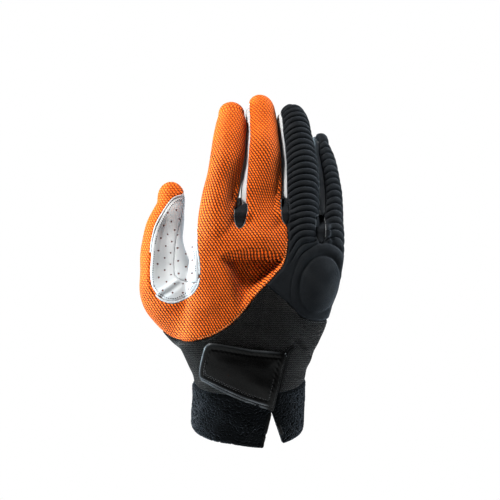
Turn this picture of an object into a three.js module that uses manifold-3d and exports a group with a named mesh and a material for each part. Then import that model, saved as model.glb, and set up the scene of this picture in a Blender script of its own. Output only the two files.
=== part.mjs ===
// Racquetball glove for the right hand, worn shape, back of the hand facing -Y and fingers up.
// Millimetres, +Z up along the fingers, +X towards the little finger, origin in the wrist opening.
import * as THREE from 'three';
import { mergeVertices } from 'three/addons/utils/BufferGeometryUtils.js';
import Module from 'manifold-3d';

const manifoldLibrary = await Module();
manifoldLibrary.setup();

// Driving dimensions
const WALL = 1.5;
const GAP = 0.34;
const GUSSET_GAP = 0.55;
const CLEAR_OF_SURFACE = 0.32;
const HAND_SIDES = 22;
const FINGER_SIDES = 12;
const HAND_HOLLOW_SIDES = 12;
const FINGER_HOLLOW_SIDES = 8;
const TIDY_TOLERANCE = 0.13;
const CUFF_SEAM_HEIGHT = 28;
const CUFF_SEAM_SLOPE = 0.4;
const CUFF_SEAM_Y = 5;
const CUFF_MOUTH_SLOPE = 0.62;
const CUFF_MOUTH_Y = 17;
const SLIT_WIDTH = 0.7;
const FRONT_ONLY = 5;
const SMALLEST_BODY = 12;
const RIB_HEIGHT = 1.3;
const RING_RIB_PITCH = 4.1;
const LITTLE_RIB_PITCH = 4.6;
const STRAP_THICKNESS = 2;
const SIDE_SEAM = { low: 100, high: 112, from: 60, to: 98 };
const RAISED_TO = 86;
const RAISED_REACH = 9;
const LITTLE_SEAM = { low: 86, high: 112, from: 114, to: 140 };
const INDEX_SEAM = 112;
const BACK_PANEL_LEFT = -62;
const BACK_PANEL_RIGHT = 78;
const STRIP_EDGE = 118;
const STRIP_END_LEAN = 0.12;
const STRIP_FROM = 1;
const PADDED_SECTIONS = 6;
const STRAP_SECTIONS = 8;
const STRAP_LIFT = 0.32;
const THUMB_PANEL_LEFT = { low: -92, high: -128, from: 55, to: 95 };
const THUMB_PANEL_RIGHT = 100;
const TIP_SECTIONS = 3;
const TIP_REACH = 1;
const TIP_POWER = 3;
const CAP_STEPS = [0.42, 0.76, 0.95];
const NEAREST_RINGS = 0.8;
const MOST_WALL = 0.6;
const MOST_BACK_ANGLE = 80;

// Cross sections of the hand, from the wrist opening to the knuckles.
// z, left and right edges, y of the middle, depth, wall, turn of the back in degrees, squareness
const HAND_ROWS = [
  { z: -9, left: -37.1, right: 35.2, y: 21, depth: 48, wall: 3.2, turn: 1, square: 2.05 },
  { z: 2, left: -37, right: 35.7, y: 16.2, depth: 48, wall: 3.2, turn: 1, square: 2.05 },
  { z: 15, left: -36.1, right: 36, y: 10.6, depth: 47, wall: 3.2, turn: 3, square: 2.1 },
  { z: 28, left: -35.2, right: 36.2, y: 5, depth: 46, wall: 3.0, turn: 5, square: 2.1 },
  { z: 38, left: -37.3, right: 36.7, y: 1.4, depth: 42, wall: 2.2, turn: 7, square: 2.15 },
  { z: 48, left: -41.3, right: 43.2, y: -1.6, depth: 39, wall: WALL, turn: 8, square: 2.2 },
  { z: 58, left: -45.5, right: 48.2, y: -3.8, depth: 37, wall: WALL, turn: 10, square: 2.3 },
  { z: 70, left: -43, right: 49.3, y: -5.4, depth: 36, wall: WALL, turn: 10, square: 2.35 },
  { z: 84, left: -40.6, right: 52.8, y: -6.4, depth: 35, wall: WALL, turn: 10, square: 2.4 },
  { z: 98, left: -39.2, right: 57.3, y: -6.6, depth: 34, wall: WALL, turn: 11, square: 2.4 },
  { z: 110, left: -38, right: 60, y: -6, depth: 32, wall: WALL, turn: 11, square: 2.4 },
  { z: 120, left: -35.6, right: 61.4, y: -5, depth: 28, wall: WALL, turn: 11, square: 2.3 },
  { z: 129, left: -31.5, right: 59.5, y: -3.6, depth: 19, wall: WALL, turn: 11, square: 2.1 },
  { z: 133, left: -27, right: 56, y: -3, depth: 9, wall: WALL, turn: 11, square: 2 },
];

// Fingers: the same columns, with the point of the tip. The turn follows the arch of the knuckles.
const FINGERS = {
  index: {
    turn: 4,
    tip: { x: -11, y: 24.5, z: 208.8 },
    rows: [
      { z: 104, left: -29, right: -11, y: -9.6, depth: 18 },
      { z: 120, left: -33.6, right: -8.6, y: -10.2, depth: 25 },
      { z: 135, left: -32.3, right: -8.4, y: -9, depth: 24 },
      { z: 147, left: -29.9, right: -7.2, y: -6.6, depth: 22.5 },
      { z: 160, left: -27.3, right: -4.9, y: -2.6, depth: 21.5 },
      { z: 176, left: -24.4, right: -2.5, y: 4, depth: 20.5 },
      { z: 194.3, left: -21.6, right: -1.4, y: 13.8, depth: 19 },
    ],
  },
  middle: {
    turn: 9,
    tip: { x: 7, y: 32, z: 214.8 },
    rows: [
      { z: 104, left: -3, right: 19, y: -6, depth: 18 },
      { z: 122, left: -4.4, right: 22.2, y: -5.6, depth: 25 },
      { z: 147, left: -4.3, right: 21.8, y: -2.2, depth: 23 },
      { z: 160.6, left: -3.3, right: 21.7, y: 1.8, depth: 22 },
      { z: 176.2, left: -1.5, right: 21, y: 8.2, depth: 21 },
      { z: 188, left: -0.6, right: 19.8, y: 14.4, depth: 20 },
      { z: 200, left: -0.8, right: 18.1, y: 21.6, depth: 19 },
    ],
  },
  ring: {
    turn: 18,
    ribPitch: RING_RIB_PITCH,
    ribFrom: 130,
    ribTo: 203,
    tip: { x: 27.8, y: 33.8, z: 208.4 },
    rows: [
      { z: 104, left: 25, right: 43, y: -4.6, depth: 21 },
      { z: 122, left: 23.6, right: 45, y: -2.2, depth: 25 },
      { z: 147, left: 22.6, right: 45.6, y: 4.2, depth: 23 },
      { z: 160.6, left: 22.5, right: 45.8, y: 8.6, depth: 22.5 },
      { z: 171.6, left: 22.1, right: 44.5, y: 12.8, depth: 22 },
      { z: 182, left: 21.3, right: 42.6, y: 17.6, depth: 21 },
      { z: 191.8, left: 20.3, right: 40.2, y: 22.8, depth: 20 },
    ],
  },
  little: {
    turn: 30,
    ribPitch: LITTLE_RIB_PITCH,
    ribFrom: 116,
    ribTo: 179,
    tip: { x: 46.6, y: 38.6, z: 189.3 },
    rows: [
      { z: 96, left: 44.5, right: 59, y: 0.5, depth: 16 },
      { z: 114, left: 43, right: 60.8, y: 3, depth: 21 },
      { z: 132.6, left: 44.6, right: 60.4, y: 9.8, depth: 20 },
      { z: 147, left: 45, right: 60, y: 16, depth: 19 },
      { z: 157.3, left: 44.2, right: 58.7, y: 21, depth: 18 },
      { z: 166.4, left: 43.2, right: 57.4, y: 25.2, depth: 17 },
      { z: 175, left: 42, right: 55.4, y: 29.6, depth: 16 },
    ],
  },
};

// Thumb: middle of each section, its width and its depth.
const THUMB = {
  turn: -12,
  tip: { x: -50, y: 14, z: 157.8 },
  rows: [
    { x: -12, y: 3, z: 40, width: 28, depth: 26 },
    { x: -28, y: 1, z: 58, width: 35, depth: 31 },
    { x: -44.5, y: -1, z: 77, width: 39, depth: 31 },
    { x: -51, y: -0.5, z: 88.5, width: 40.5, depth: 29 },
    { x: -54, y: 0.6, z: 101, width: 34.4, depth: 26.5 },
    { x: -55.4, y: 3, z: 117.5, width: 28.4, depth: 24 },
    { x: -53.4, y: 7, z: 132.5, width: 23.4, depth: 21.5 },
    { x: -51, y: 10.5, z: 143, width: 18.2, depth: 18.5 },
  ],
};

// Seam lines drawn on the back, as x and z.
const ORANGE_LOWER_SEAM = [
  [-66, 70], [-53.6, 59.8], [-46.5, 55.9], [-39.3, 54.6], [-31.5, 55.9], [-21.8, 59.2], [-10.7, 66.3],
  [-2.3, 74.8], [1, 79.3], [7.5, 87.1], [11.8, 91.7], [21.5, 102.1], [24.7, 109.9], [25.7, 119.3],
  [25, 129], [22.3, 137], [22.1, 150],
];
const PADDED_LOWER_SEAM = [
  [8.6, 93.2], [20.5, 83.8], [28.3, 76.7], [33.9, 70.9], [41.5, 67.9], [50.9, 68.4], [64, 74],
];
const PADDED_REACH = [
  [11, 90], [30, 60], [90, 60], [90, 230], [20, 230], [20.4, 196], [21.4, 180], [22, 150], [18, 110],
];
const THUMB_WINDOW = [
  [-43.2, 148.9], [-48.4, 146.9], [-53.6, 140.4], [-59.5, 129.4], [-62.1, 119.6], [-63.1, 107.9],
  [-63.8, 98.8], [-63.2, 91], [-60.1, 85.8], [-55.6, 81.9], [-48.7, 80.3], [-41.9, 82.6], [-36.1, 86.5],
  [-32.8, 91.7], [-31.9, 97.5], [-32.4, 106.6], [-33.5, 116.4], [-34.1, 126.8], [-37.5, 135],
];
const THUMB_WINDOW_OUTSIDE = [[-38.6, 141], [-39.5, 151], [-42, 151]];
const THUMB_INNER_SEAM = [
  [-42.4, 152], [-43.2, 142.3], [-44.5, 127.4], [-46.5, 115], [-47.8, 102.4], [-46.8, 96.9],
  [-41.6, 93.6], [-31, 92.4],
];
const THUMB_INNER_OUTSIDE = [[-31, 76], [-70, 76], [-70, 152]];
const WRIST_SLIT = [[15, 8.5], [16.8, 13], [20.8, 29], [25, 47.5], [29, 51.5]];
const CUFF_NOTCH = [[15, 9.1], [9.2, -14.7], [7.8, -26], [27.5, -26], [22.7, -12.4]];
const STRAP_OUTLINE = {
  start: [24.4, 47.9],
  top: [[1.6, 50], [-20, 54]],
  topCorner: [[-26.6, 54.2], [-29.2, 48.4]],
  end: [-31.4, 38],
  bottomCorner: [[-31.6, 31], [-26, 29.6]],
  bottom: [[-14, 22.8], [-4.2, 18.4], [4.9, 15]],
  finish: [15.6, 11.6],
};

// Gussets in the crotches, with the web that each closes: it is low at the back and high at the palm.
const GUSSETS = {
  index_middle: {
    fingers: ['index', 'middle'],
    outline: [[-9.6, 146.5], [-0.6, 146.5], [-1.2, 137.5], [-4.9, 128.7], [-8.4, 133.2]],
    front: -19,
    depth: -3,
    web: { left: -14, right: 2, front: -15, back: 3, low: 138, high: 148 },
  },
  middle_ring: {
    fingers: ['middle', 'ring'],
    outline: [[20.2, 151.5], [26.4, 151.5], [26.4, 133.4], [24.2, 129.6], [21.6, 135]],
    front: -90,
    depth: 1,
    web: { left: 16, right: 30, front: -11, back: 7, low: 138, high: 149 },
  },
  ring_little: {
    fingers: ['ring', 'little'],
    outline: [[42.8, 139.5], [49.6, 139.5], [50.4, 124], [47.3, 117], [44.2, 122.5]],
    front: -90,
    depth: 5,
    web: { left: 38, right: 53, front: -8, back: 11, low: 127, high: 140 },
  },
};

// Knuckle pad: middle, half sizes across, along and in height, lean to the right in degrees.
const PAD = {
  x: 46.2,
  z: 91.7,
  across: 12.6,
  along: 18.6,
  height: 4.6,
  lean: 14,
  ringScale: 1.24,
  ringRadius: 1.9,
  ringSteps: 18,
};
const HAND_RIBS = {
  first: 1.52, step: 0.27, count: 5, from: 88, to: 178, radius: 1.9, sunk: 0.35, steps: 7, highest: 121,
};

// Shallow dent below the knuckles: middle, half sizes and depth.
const DENT = { x: 4, z: 101, across: 24, along: 15, depth: 2.4 };

const radians = (degrees) => (degrees * Math.PI) / 180;

// A closed mesh of rings of points, with a fan on each end.
function skin(rings, isLoop = false) {
  const sides = rings[0].length;
  const positions = rings.flat().flatMap((point) => [point.x, point.y, point.z]);
  const first = rings[0].reduce((sum, point) => sum.add(point), new THREE.Vector3()).divideScalar(sides);
  const lastRing = rings[rings.length - 1];
  const last = lastRing.reduce((sum, point) => sum.add(point), new THREE.Vector3()).divideScalar(sides);
  positions.push(first.x, first.y, first.z, last.x, last.y, last.z);
  const firstIndex = rings.length * sides;
  const index = [];
  for (let i = 0; i < (isLoop ? rings.length : rings.length - 1); i += 1) {
    const nextRing = (i + 1) % rings.length;
    for (let j = 0; j < sides; j += 1) {
      const next = (j + 1) % sides;
      const corners = [i * sides + j, i * sides + next, nextRing * sides + j, nextRing * sides + next];
      index.push(corners[0], corners[1], corners[2], corners[1], corners[3], corners[2]);
    }
  }
  const top = (rings.length - 1) * sides;
  for (let j = 0; j < sides && !isLoop; j += 1) {
    const next = (j + 1) % sides;
    index.push(firstIndex, next, j);
    index.push(firstIndex + 1, top + j, top + next);
  }
  const geometry = new THREE.BufferGeometry();
  geometry.setAttribute('position', new THREE.Float32BufferAttribute(positions, 3));
  geometry.setIndex(index);
  return geometry;
}

function toSolid(geometry) {
  const bare = geometry.clone();
  bare.deleteAttribute('normal');
  bare.deleteAttribute('uv');
  const merged = mergeVertices(bare, 1e-4);
  const solid = new manifoldLibrary.Manifold(new manifoldLibrary.Mesh({
    numProp: 3,
    vertProperties: new Float32Array(merged.attributes.position.array),
    triVerts: new Uint32Array(merged.index.array),
  }));
  if (solid.volume() < 0) {
    throw new Error('a solid is inside out');
  }
  return solid;
}

function bareGeometry(solid) {
  const mesh = solid.getMesh();
  const geometry = new THREE.BufferGeometry();
  geometry.setAttribute('position', new THREE.Float32BufferAttribute(mesh.vertProperties, 3));
  geometry.setIndex(Array.from(mesh.triVerts));
  return geometry;
}

// The largest body of a solid, freed of the slivers that cuts leave, as a geometry.
function toGeometry(solid) {
  const tidied = bodies(solid.simplify(TIDY_TOLERANCE))[0];
  const geometry = bareGeometry(bodies(toSolid(bareGeometry(tidied)))[0]);
  geometry.computeVertexNormals();
  return geometry;
}

const joined = (solids) => solids.reduce((sum, solid) => sum.add(solid));

// Rows as sections: a middle point, half width and half depth, and the axes across and out of the back.
function toSections(rows, turn) {
  const middles = rows.map((row) => new THREE.Vector3(row.x ?? (row.left + row.right) / 2, row.y, row.z));
  return rows.map((row, i) => {
    const before = middles[Math.max(i - 1, 0)];
    const after = middles[Math.min(i + 1, rows.length - 1)];
    const along = after.clone().sub(before).normalize();
    const angle = radians(row.turn ?? turn);
    const out = new THREE.Vector3(Math.sin(angle), -Math.cos(angle), 0);
    out.addScaledVector(along, -out.dot(along)).normalize();
    const across = along.clone().cross(out);
    const flatWidth = row.width ?? (row.right - row.left) / Math.max(Math.abs(across.x), 0.5);
    return {
      middle: middles[i],
      along,
      out,
      across,
      halfWidth: flatWidth / 2,
      halfDepth: row.depth / 2,
      wall: row.wall ?? WALL,
      power: 2 / (row.square ?? 2.1),
      z: row.z,
    };
  });
}

const signedPower = (value, power) => Math.sign(value) * Math.abs(value) ** power;

// The point of a section at an angle from the middle of the back, grown outwards or shrunk inwards.
function sectionPoint(section, degrees, grow = 0) {
  const angle = radians(degrees);
  const side = signedPower(Math.sin(angle), section.power) * (section.halfWidth + grow);
  const front = signedPower(Math.cos(angle), section.power) * (section.halfDepth + grow);
  return section.middle.clone().addScaledVector(section.across, side).addScaledVector(section.out, front);
}

// The sections of a finger, with the round end worked out from the last row and the tip.
function fingerSections(finger) {
  const rows = [...finger.rows];
  const last = rows[rows.length - 1];
  const lastX = last.x ?? (last.left + last.right) / 2;
  const lastWidth = last.width ?? last.right - last.left;
  for (const t of CAP_STEPS) {
    const shrink = Math.sqrt(1 - t ** TIP_POWER);
    rows.push({
      x: lastX + (finger.tip.x - lastX) * t,
      y: last.y + (finger.tip.y - last.y) * t,
      z: last.z + (finger.tip.z - last.z) * t,
      width: lastWidth * shrink,
      depth: last.depth * shrink,
    });
  }
  return toSections(rows, finger.turn);
}

const halfRibPitch = (finger) => finger.ribPitch / 2;

// Sections resampled at crests and valleys of the cross ribs.
function ribbedSections(finger) {
  const plain = fingerSections(finger);
  const heights = plain.map((section) => section.z).filter((z) => z < finger.ribFrom - halfRibPitch(finger));
  const firstRib = heights.length;
  for (let z = finger.ribFrom; z < finger.ribTo; z += halfRibPitch(finger)) {
    heights.push(z);
  }
  const lastRib = heights[heights.length - 1];
  heights.push(...plain.map((section) => section.z).filter((z) => z > lastRib + NEAREST_RINGS));
  return heights.map((z, i) => {
    const above = plain.findIndex((section) => section.z > z);
    const upper = above < 1 ? plain.length - 1 : above;
    const a = plain[upper - 1];
    const b = plain[upper];
    const t = (z - a.z) / (b.z - a.z);
    const mix = (name) => a[name] + (b[name] - a[name]) * t;
    const mixVector = (name) => a[name].clone().lerp(b[name], t);
    const isCrest = i >= firstRib && z <= lastRib && (i - firstRib) % 2 === 1;
    return {
      ...a,
      middle: mixVector('middle'),
      along: mixVector('along').normalize(),
      out: mixVector('out').normalize(),
      across: mixVector('across').normalize(),
      halfWidth: mix('halfWidth'),
      halfDepth: mix('halfDepth'),
      z,
      rib: isCrest || z < finger.ribFrom || z > lastRib ? RIB_HEIGHT : 0,
    };
  });
}

// How much of a rib's height is left at an angle: whole on the back, none on the palm side.
function ribShare(degrees) {
  const fromMiddle = Math.abs(degrees - (BACK_PANEL_LEFT + BACK_PANEL_RIGHT) / 2);
  return THREE.MathUtils.clamp((84 - fromMiddle) / 20, 0, 1);
}

// How far a section's skin stands from its plain form at an angle.
function relief(section, degrees) {
  if (section.rib !== undefined) {
    return (section.rib - RIB_HEIGHT) * ribShare(degrees);
  }
  if (section.dented) {
    const point = sectionPoint(section, degrees);
    const away = ((point.x - DENT.x) / DENT.across) ** 2 + ((point.z - DENT.z) / DENT.along) ** 2;
    return Math.abs(degrees) < 90 ? -DENT.depth * Math.max(1 - away, 0) : 0;
  }
  return 0;
}

function tube(parts, sides, grow = 0) {
  return toSolid(skin(parts.map((section) => Array.from({ length: sides }, (_, i) => {
    const degrees = -180 + (360 * i) / sides;
    return sectionPoint(section, degrees, grow + relief(section, degrees));
  }))));
}

// The inside of a tube: each section shrunk by its own wall.
function hollow(parts, sides) {
  return toSolid(skin(parts.map((section) => Array.from({ length: sides }, (_, i) => {
    const degrees = -180 + (360 * i) / sides;
    const thinnest = Math.min(section.halfWidth, section.halfDepth);
    return sectionPoint(section, degrees, (section.dented ? relief(section, degrees) : 0)
      - Math.min(section.wall, thinnest * MOST_WALL));
  }))));
}

// The angle of a seam at a height: a plain number, or one that changes between two heights.
function seamAngle(seam, height) {
  return typeof seam === 'number' ? seam
    : THREE.MathUtils.mapLinear(THREE.MathUtils.clamp(height, seam.from, seam.to), seam.from, seam.to,
      seam.low, seam.high);
}

// A wedge of a tube between two seams, widened by a margin, reaching just past its skin.
function wedge(parts, leftSeam, rightSeam, margin = 0, steps = 24, reach = CLEAR_OF_SURFACE) {
  return toSolid(skin(parts.map((section) => {
    const extra = (margin / section.halfDepth) * (180 / Math.PI);
    const from = seamAngle(leftSeam, section.z) - extra;
    const span = seamAngle(rightSeam, section.z) + extra - from;
    const ring = [section.middle.clone()];
    for (let i = 0; i <= steps; i += 1) {
      ring.push(sectionPoint(section, from + (span * i) / steps, reach + margin));
    }
    return ring;
  })));
}

// A prism through the glove from front to back, from an outline in x and z.
function prism(outline, front = -90, back = 90) {
  const shape = new THREE.Shape(outline.map(([x, z]) => new THREE.Vector2(x, z)));
  const geometry = new THREE.ExtrudeGeometry(shape, { depth: back - front, bevelEnabled: false });
  geometry.rotateX(Math.PI / 2);
  geometry.translate(0, back, 0);
  return toSolid(geometry);
}

// A prism from left to right, from an outline in y and z.
function sidePrism(outline, left = -120, right = 120) {
  const shape = new THREE.Shape(outline.map(([y, z]) => new THREE.Vector2(y, z)));
  const geometry = new THREE.ExtrudeGeometry(shape, { depth: right - left, bevelEnabled: false });
  const turned = new THREE.Matrix4().makeBasis(
    new THREE.Vector3(0, 1, 0),
    new THREE.Vector3(0, 0, 1),
    new THREE.Vector3(1, 0, 0),
  );
  geometry.applyMatrix4(turned);
  geometry.translate(left, 0, 0);
  return toSolid(geometry);
}

const smoothLine = (points, steps) => new THREE.SplineCurve(
  points.map(([x, z]) => new THREE.Vector2(x, z)),
).getPoints(steps).map((point) => [point.x, point.y]);

// A line of the same points moved sideways by an offset.
function offsetLine(line, offset) {
  return line.map(([x, z], i) => {
    const before = line[Math.max(i - 1, 0)];
    const after = line[Math.min(i + 1, line.length - 1)];
    const length = Math.hypot(after[0] - before[0], after[1] - before[1]);
    return [x - ((after[1] - before[1]) / length) * offset, z + ((after[0] - before[0]) / length) * offset];
  });
}

// A thin cut along a seam line, as wide as the gap that neighbours keep.
function seamCut(line, width = GAP, front = -90, back = 90) {
  return prism([...offsetLine(line, width / 2), ...offsetLine(line, -width / 2).reverse()], front, back);
}

// All below or above a plane that leans from front to back.
function halfSpace(slope, y, z, isBelow) {
  const far = isBelow ? -300 : 300;
  return sidePrism([[-90, z + slope * (-90 - y)], [90, z + slope * (90 - y)], [90, far], [-90, far]]);
}

// The larger bodies that a cut has left, largest first.
function bodies(solid) {
  return solid.decompose()
    .filter((body) => body.volume() > SMALLEST_BODY)
    .sort((a, b) => b.volume() - a.volume());
}

// Sections of the hand, the fingers and the thumb
const handSections = toSections(HAND_ROWS, 0)
  .map((section) => ({ ...section, dented: true }));
const thumbSections = fingerSections(THUMB);
const sections = {};
for (const [name, finger] of Object.entries(FINGERS)) {
  sections[name] = fingerSections(finger);
}

// The section of the hand at a height, between the nearest two.
function handSectionAt(height) {
  const above = handSections.findIndex((section) => section.z > height);
  const upper = THREE.MathUtils.clamp(above, 1, handSections.length - 1);
  const a = handSections[upper - 1];
  const b = handSections[upper];
  const t = (height - a.z) / (b.z - a.z);
  const mixed = { dented: true };
  for (const name of ['middle', 'out', 'across', 'along']) {
    mixed[name] = a[name].clone().lerp(b[name], t);
  }
  for (const name of ['halfWidth', 'halfDepth', 'power']) {
    mixed[name] = a[name] + (b[name] - a[name]) * t;
  }
  return mixed;
}

// The place on the back over x and z, with the directions across, along and out of the skin.
function onBack(x, z) {
  let height = z;
  let low = -MOST_BACK_ANGLE;
  let high = MOST_BACK_ANGLE;
  let section = handSectionAt(height);
  for (let pass = 0; pass < 24; pass += 1) {
    const angle = (low + high) / 2;
    const point = sectionPoint(section, angle);
    if (point.x < x) {
      low = angle;
    } else {
      high = angle;
    }
    height += z - point.z;
    section = handSectionAt(height);
  }
  const angle = (low + high) / 2;
  const side = sectionPoint(section, angle + 3).sub(sectionPoint(section, angle - 3)).normalize();
  const along = section.along.clone().normalize();
  const out = side.clone().cross(along).normalize();
  return { point: sectionPoint(section, angle), side, along, out };
}

// Knuckle pad: a low dome with a raised ring round it.
function padPoint(scale, degrees) {
  const lean = radians(PAD.lean);
  const across = PAD.across * scale * Math.cos(radians(degrees));
  const along = PAD.along * scale * Math.sin(radians(degrees));
  return [
    PAD.x + across * Math.cos(lean) + along * Math.sin(lean),
    PAD.z - across * Math.sin(lean) + along * Math.cos(lean),
  ];
}

function knuckleDome() {
  const place = onBack(PAD.x, PAD.z);
  const geometry = new THREE.SphereGeometry(1, 12, 7);
  geometry.scale(PAD.across, PAD.height, PAD.along);
  geometry.rotateY(radians(PAD.lean));
  const turned = new THREE.Matrix4().makeBasis(place.side, place.out.clone().negate(), place.along);
  geometry.applyMatrix4(turned);
  geometry.translate(place.point.x, place.point.y, place.point.z);
  return toSolid(geometry);
}

function knuckleRing() {
  const rings = [];
  for (let step = 0; step < PAD.ringSteps; step += 1) {
    const [x, z] = padPoint(PAD.ringScale, (360 * step) / PAD.ringSteps);
    const place = onBack(x, z);
    const [centreX, centreZ] = padPoint(0.5, (360 * step) / PAD.ringSteps);
    const inwards = onBack(centreX, centreZ).point.sub(place.point).normalize();
    rings.push(Array.from({ length: 5 }, (_, i) => place.point.clone()
      .addScaledVector(inwards, PAD.ringRadius * Math.cos(radians(72 * i + 18)))
      .addScaledVector(place.out, PAD.ringRadius * Math.sin(radians(72 * i + 18)))));
  }
  return toSolid(skin(rings, true));
}

// Ribs of the back of the hand: arcs round the pad that carry on the ribs of the ring finger.
function handRib(order) {
  const scale = HAND_RIBS.first + HAND_RIBS.step * order;
  const points = [];
  let from = HAND_RIBS.from;
  while (padPoint(scale, from)[1] > HAND_RIBS.highest) {
    from += 1;
  }
  for (let step = 0; step <= HAND_RIBS.steps; step += 1) {
    const [x, z] = padPoint(scale, from + ((HAND_RIBS.to - from) * step) / HAND_RIBS.steps);
    const place = onBack(x, z);
    points.push(place.point.addScaledVector(place.out, -HAND_RIBS.radius * HAND_RIBS.sunk));
  }
  const section = new THREE.Shape(Array.from({ length: 6 }, (_, i) => new THREE.Vector2(
    HAND_RIBS.radius * Math.cos(radians(60 * i)),
    HAND_RIBS.radius * Math.sin(radians(60 * i)),
  )));
  return toSolid(new THREE.ExtrudeGeometry(section, {
    steps: HAND_RIBS.steps,
    bevelEnabled: false,
    extrudePath: new THREE.CatmullRomCurve3(points),
  }));
}

// A web between two fingers, low at the back of the hand and high at the palm, shrunk by a wall.
function web(place, inset = 0) {
  return sidePrism([
    [place.front + inset, place.low - 14],
    [place.front + inset, place.low - inset],
    [place.back - inset, place.high - inset],
    [place.back - inset, place.low - 14],
  ], place.left, place.right);
}

// The whole skin: outer form less inner form, open at the wrist.
const webs = Object.values(GUSSETS).map((gusset) => gusset.web);
const rawHandRibs = joined(Array.from({ length: HAND_RIBS.count }, (_, order) => handRib(order)));
const paddedReach = prism(PADDED_REACH);
const paddedArea = prism([
  ...smoothLine(ORANGE_LOWER_SEAM.slice(10, -1), 14),
  [70, 140],
  ...smoothLine(PADDED_LOWER_SEAM.slice(1), 12).reverse(),
]);
const plainForm = joined([
  tube(handSections, HAND_SIDES),
  ...Object.values(sections).map((parts) => tube(parts, FINGER_SIDES)),
  tube(thumbSections, FINGER_SIDES),
  ...webs.map((place) => web(place)),
]);
const paddedForm = joined([
  tube(handSections.slice(PADDED_SECTIONS), HAND_SIDES),
  tube(ribbedSections(FINGERS.ring), FINGER_SIDES),
  tube(ribbedSections(FINGERS.little), FINGER_SIDES),
  knuckleDome(),
  knuckleRing(),
  rawHandRibs.intersect(paddedArea),
]);
const inner = joined([
  hollow(handSections, HAND_HOLLOW_SIDES),
  ...Object.entries(FINGERS).map(([name, finger]) => hollow(
    sections[name].slice(0, -1)
      .map((section) => ({ ...section, wall: finger.ribPitch ? WALL + RIB_HEIGHT : WALL })),
    FINGER_HOLLOW_SIDES,
  )),
  hollow(thumbSections.slice(0, -1), FINGER_HOLLOW_SIDES),
  ...webs.map((place) => web(place, WALL)),
]);
const skinSolid = plainForm.subtract(inner).intersect(halfSpace(CUFF_MOUTH_SLOPE, CUFF_MOUTH_Y, 0, false));

// Terry cuff and the parts above it
const slit = seamCut(smoothLine(WRIST_SLIT, 8), SLIT_WIDTH, -90, FRONT_ONLY);
const cuff = skinSolid
  .intersect(halfSpace(CUFF_SEAM_SLOPE, CUFF_SEAM_Y, CUFF_SEAM_HEIGHT - GAP / 2, true))
  .subtract(prism(CUFF_NOTCH, -90, FRONT_ONLY))
  .subtract(slit);
const aboveCuff = skinSolid
  .intersect(halfSpace(CUFF_SEAM_SLOPE, CUFF_SEAM_Y, CUFF_SEAM_HEIGHT + GAP / 2, false))
  .subtract(slit);

// Gussets in the crotches
const gussets = {};
const gussetCuts = [];
for (const [name, gusset] of Object.entries(GUSSETS)) {
  const wider = gusset.outline.map(([x, z]) => {
    const centre = gusset.outline.reduce((sum, point) => [sum[0] + point[0], sum[1] + point[1]], [0, 0])
      .map((sum) => sum / gusset.outline.length);
    const reach = Math.hypot(x - centre[0], z - centre[1]);
    const share = (reach + GUSSET_GAP) / reach;
    return [centre[0] + (x - centre[0]) * share, centre[1] + (z - centre[1]) * share];
  });
  gussets[name] = bodies(aboveCuff.intersect(prism(gusset.outline, gusset.front, gusset.depth)))[0];
  gussetCuts.push(prism(wider, -90, gusset.depth + GAP));
}

const remaining = aboveCuff.subtract(joined(gussetCuts));

// Back panels: the wedges of hand, fingers and thumb that the back's fabrics cover
function backRegion(margin) {
  const wedges = [
    wedge(handSections, -SIDE_SEAM.low, 0, margin, 12),
    wedge(handSections, -1, SIDE_SEAM, margin, 12),
    wedge(handSections, 0, RAISED_TO, margin, 8, RAISED_REACH),
    wedge(sections.index, -INDEX_SEAM, BACK_PANEL_RIGHT, margin),
    wedge(sections.middle, BACK_PANEL_LEFT, BACK_PANEL_RIGHT, margin),
    wedge(sections.ring, BACK_PANEL_LEFT, BACK_PANEL_RIGHT, margin),
    wedge(sections.little, BACK_PANEL_LEFT, LITTLE_SEAM, margin),
    wedge(thumbSections, THUMB_PANEL_LEFT, THUMB_PANEL_RIGHT, margin),
  ];
  const tips = [...Object.values(sections), thumbSections].map((parts) => {
    const cap = parts.slice(-TIP_SECTIONS).map((section) => ({ ...section, middle: section.middle.clone() }));
    cap[0].middle.addScaledVector(cap[0].along, -margin);
    const last = cap[cap.length - 1];
    cap.push({ ...last, middle: last.middle.clone().addScaledVector(last.along, TIP_REACH + margin) });
    return tube(cap, FINGER_SIDES, CLEAR_OF_SURFACE * 2 + margin);
  });
  return joined([...wedges, ...tips]);
}

const windowLine = smoothLine(THUMB_WINDOW, 30);
const thumbWindow = prism([...windowLine, ...THUMB_WINDOW_OUTSIDE]);
const windowCut = seamCut(windowLine);
const backArea = backRegion(0);
const orangeSeam = seamCut(smoothLine(ORANGE_LOWER_SEAM, 30));
const paddedSeam = seamCut(smoothLine(PADDED_LOWER_SEAM, 12));
const [orangeBack, , knitBack] = bodies(
  remaining.intersect(backArea).subtract(thumbWindow).subtract(windowCut)
    .subtract(orangeSeam).subtract(paddedSeam),
);
const [ribbedBack] = bodies(
  paddedForm.subtract(inner).intersect(backArea).intersect(paddedReach)
    .subtract(orangeSeam).subtract(paddedSeam).subtract(joined(gussetCuts)),
);
const nearBack = backRegion(GAP);
const leather = remaining.subtract(nearBack.subtract(thumbWindow)).subtract(windowCut.intersect(nearBack));

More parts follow.
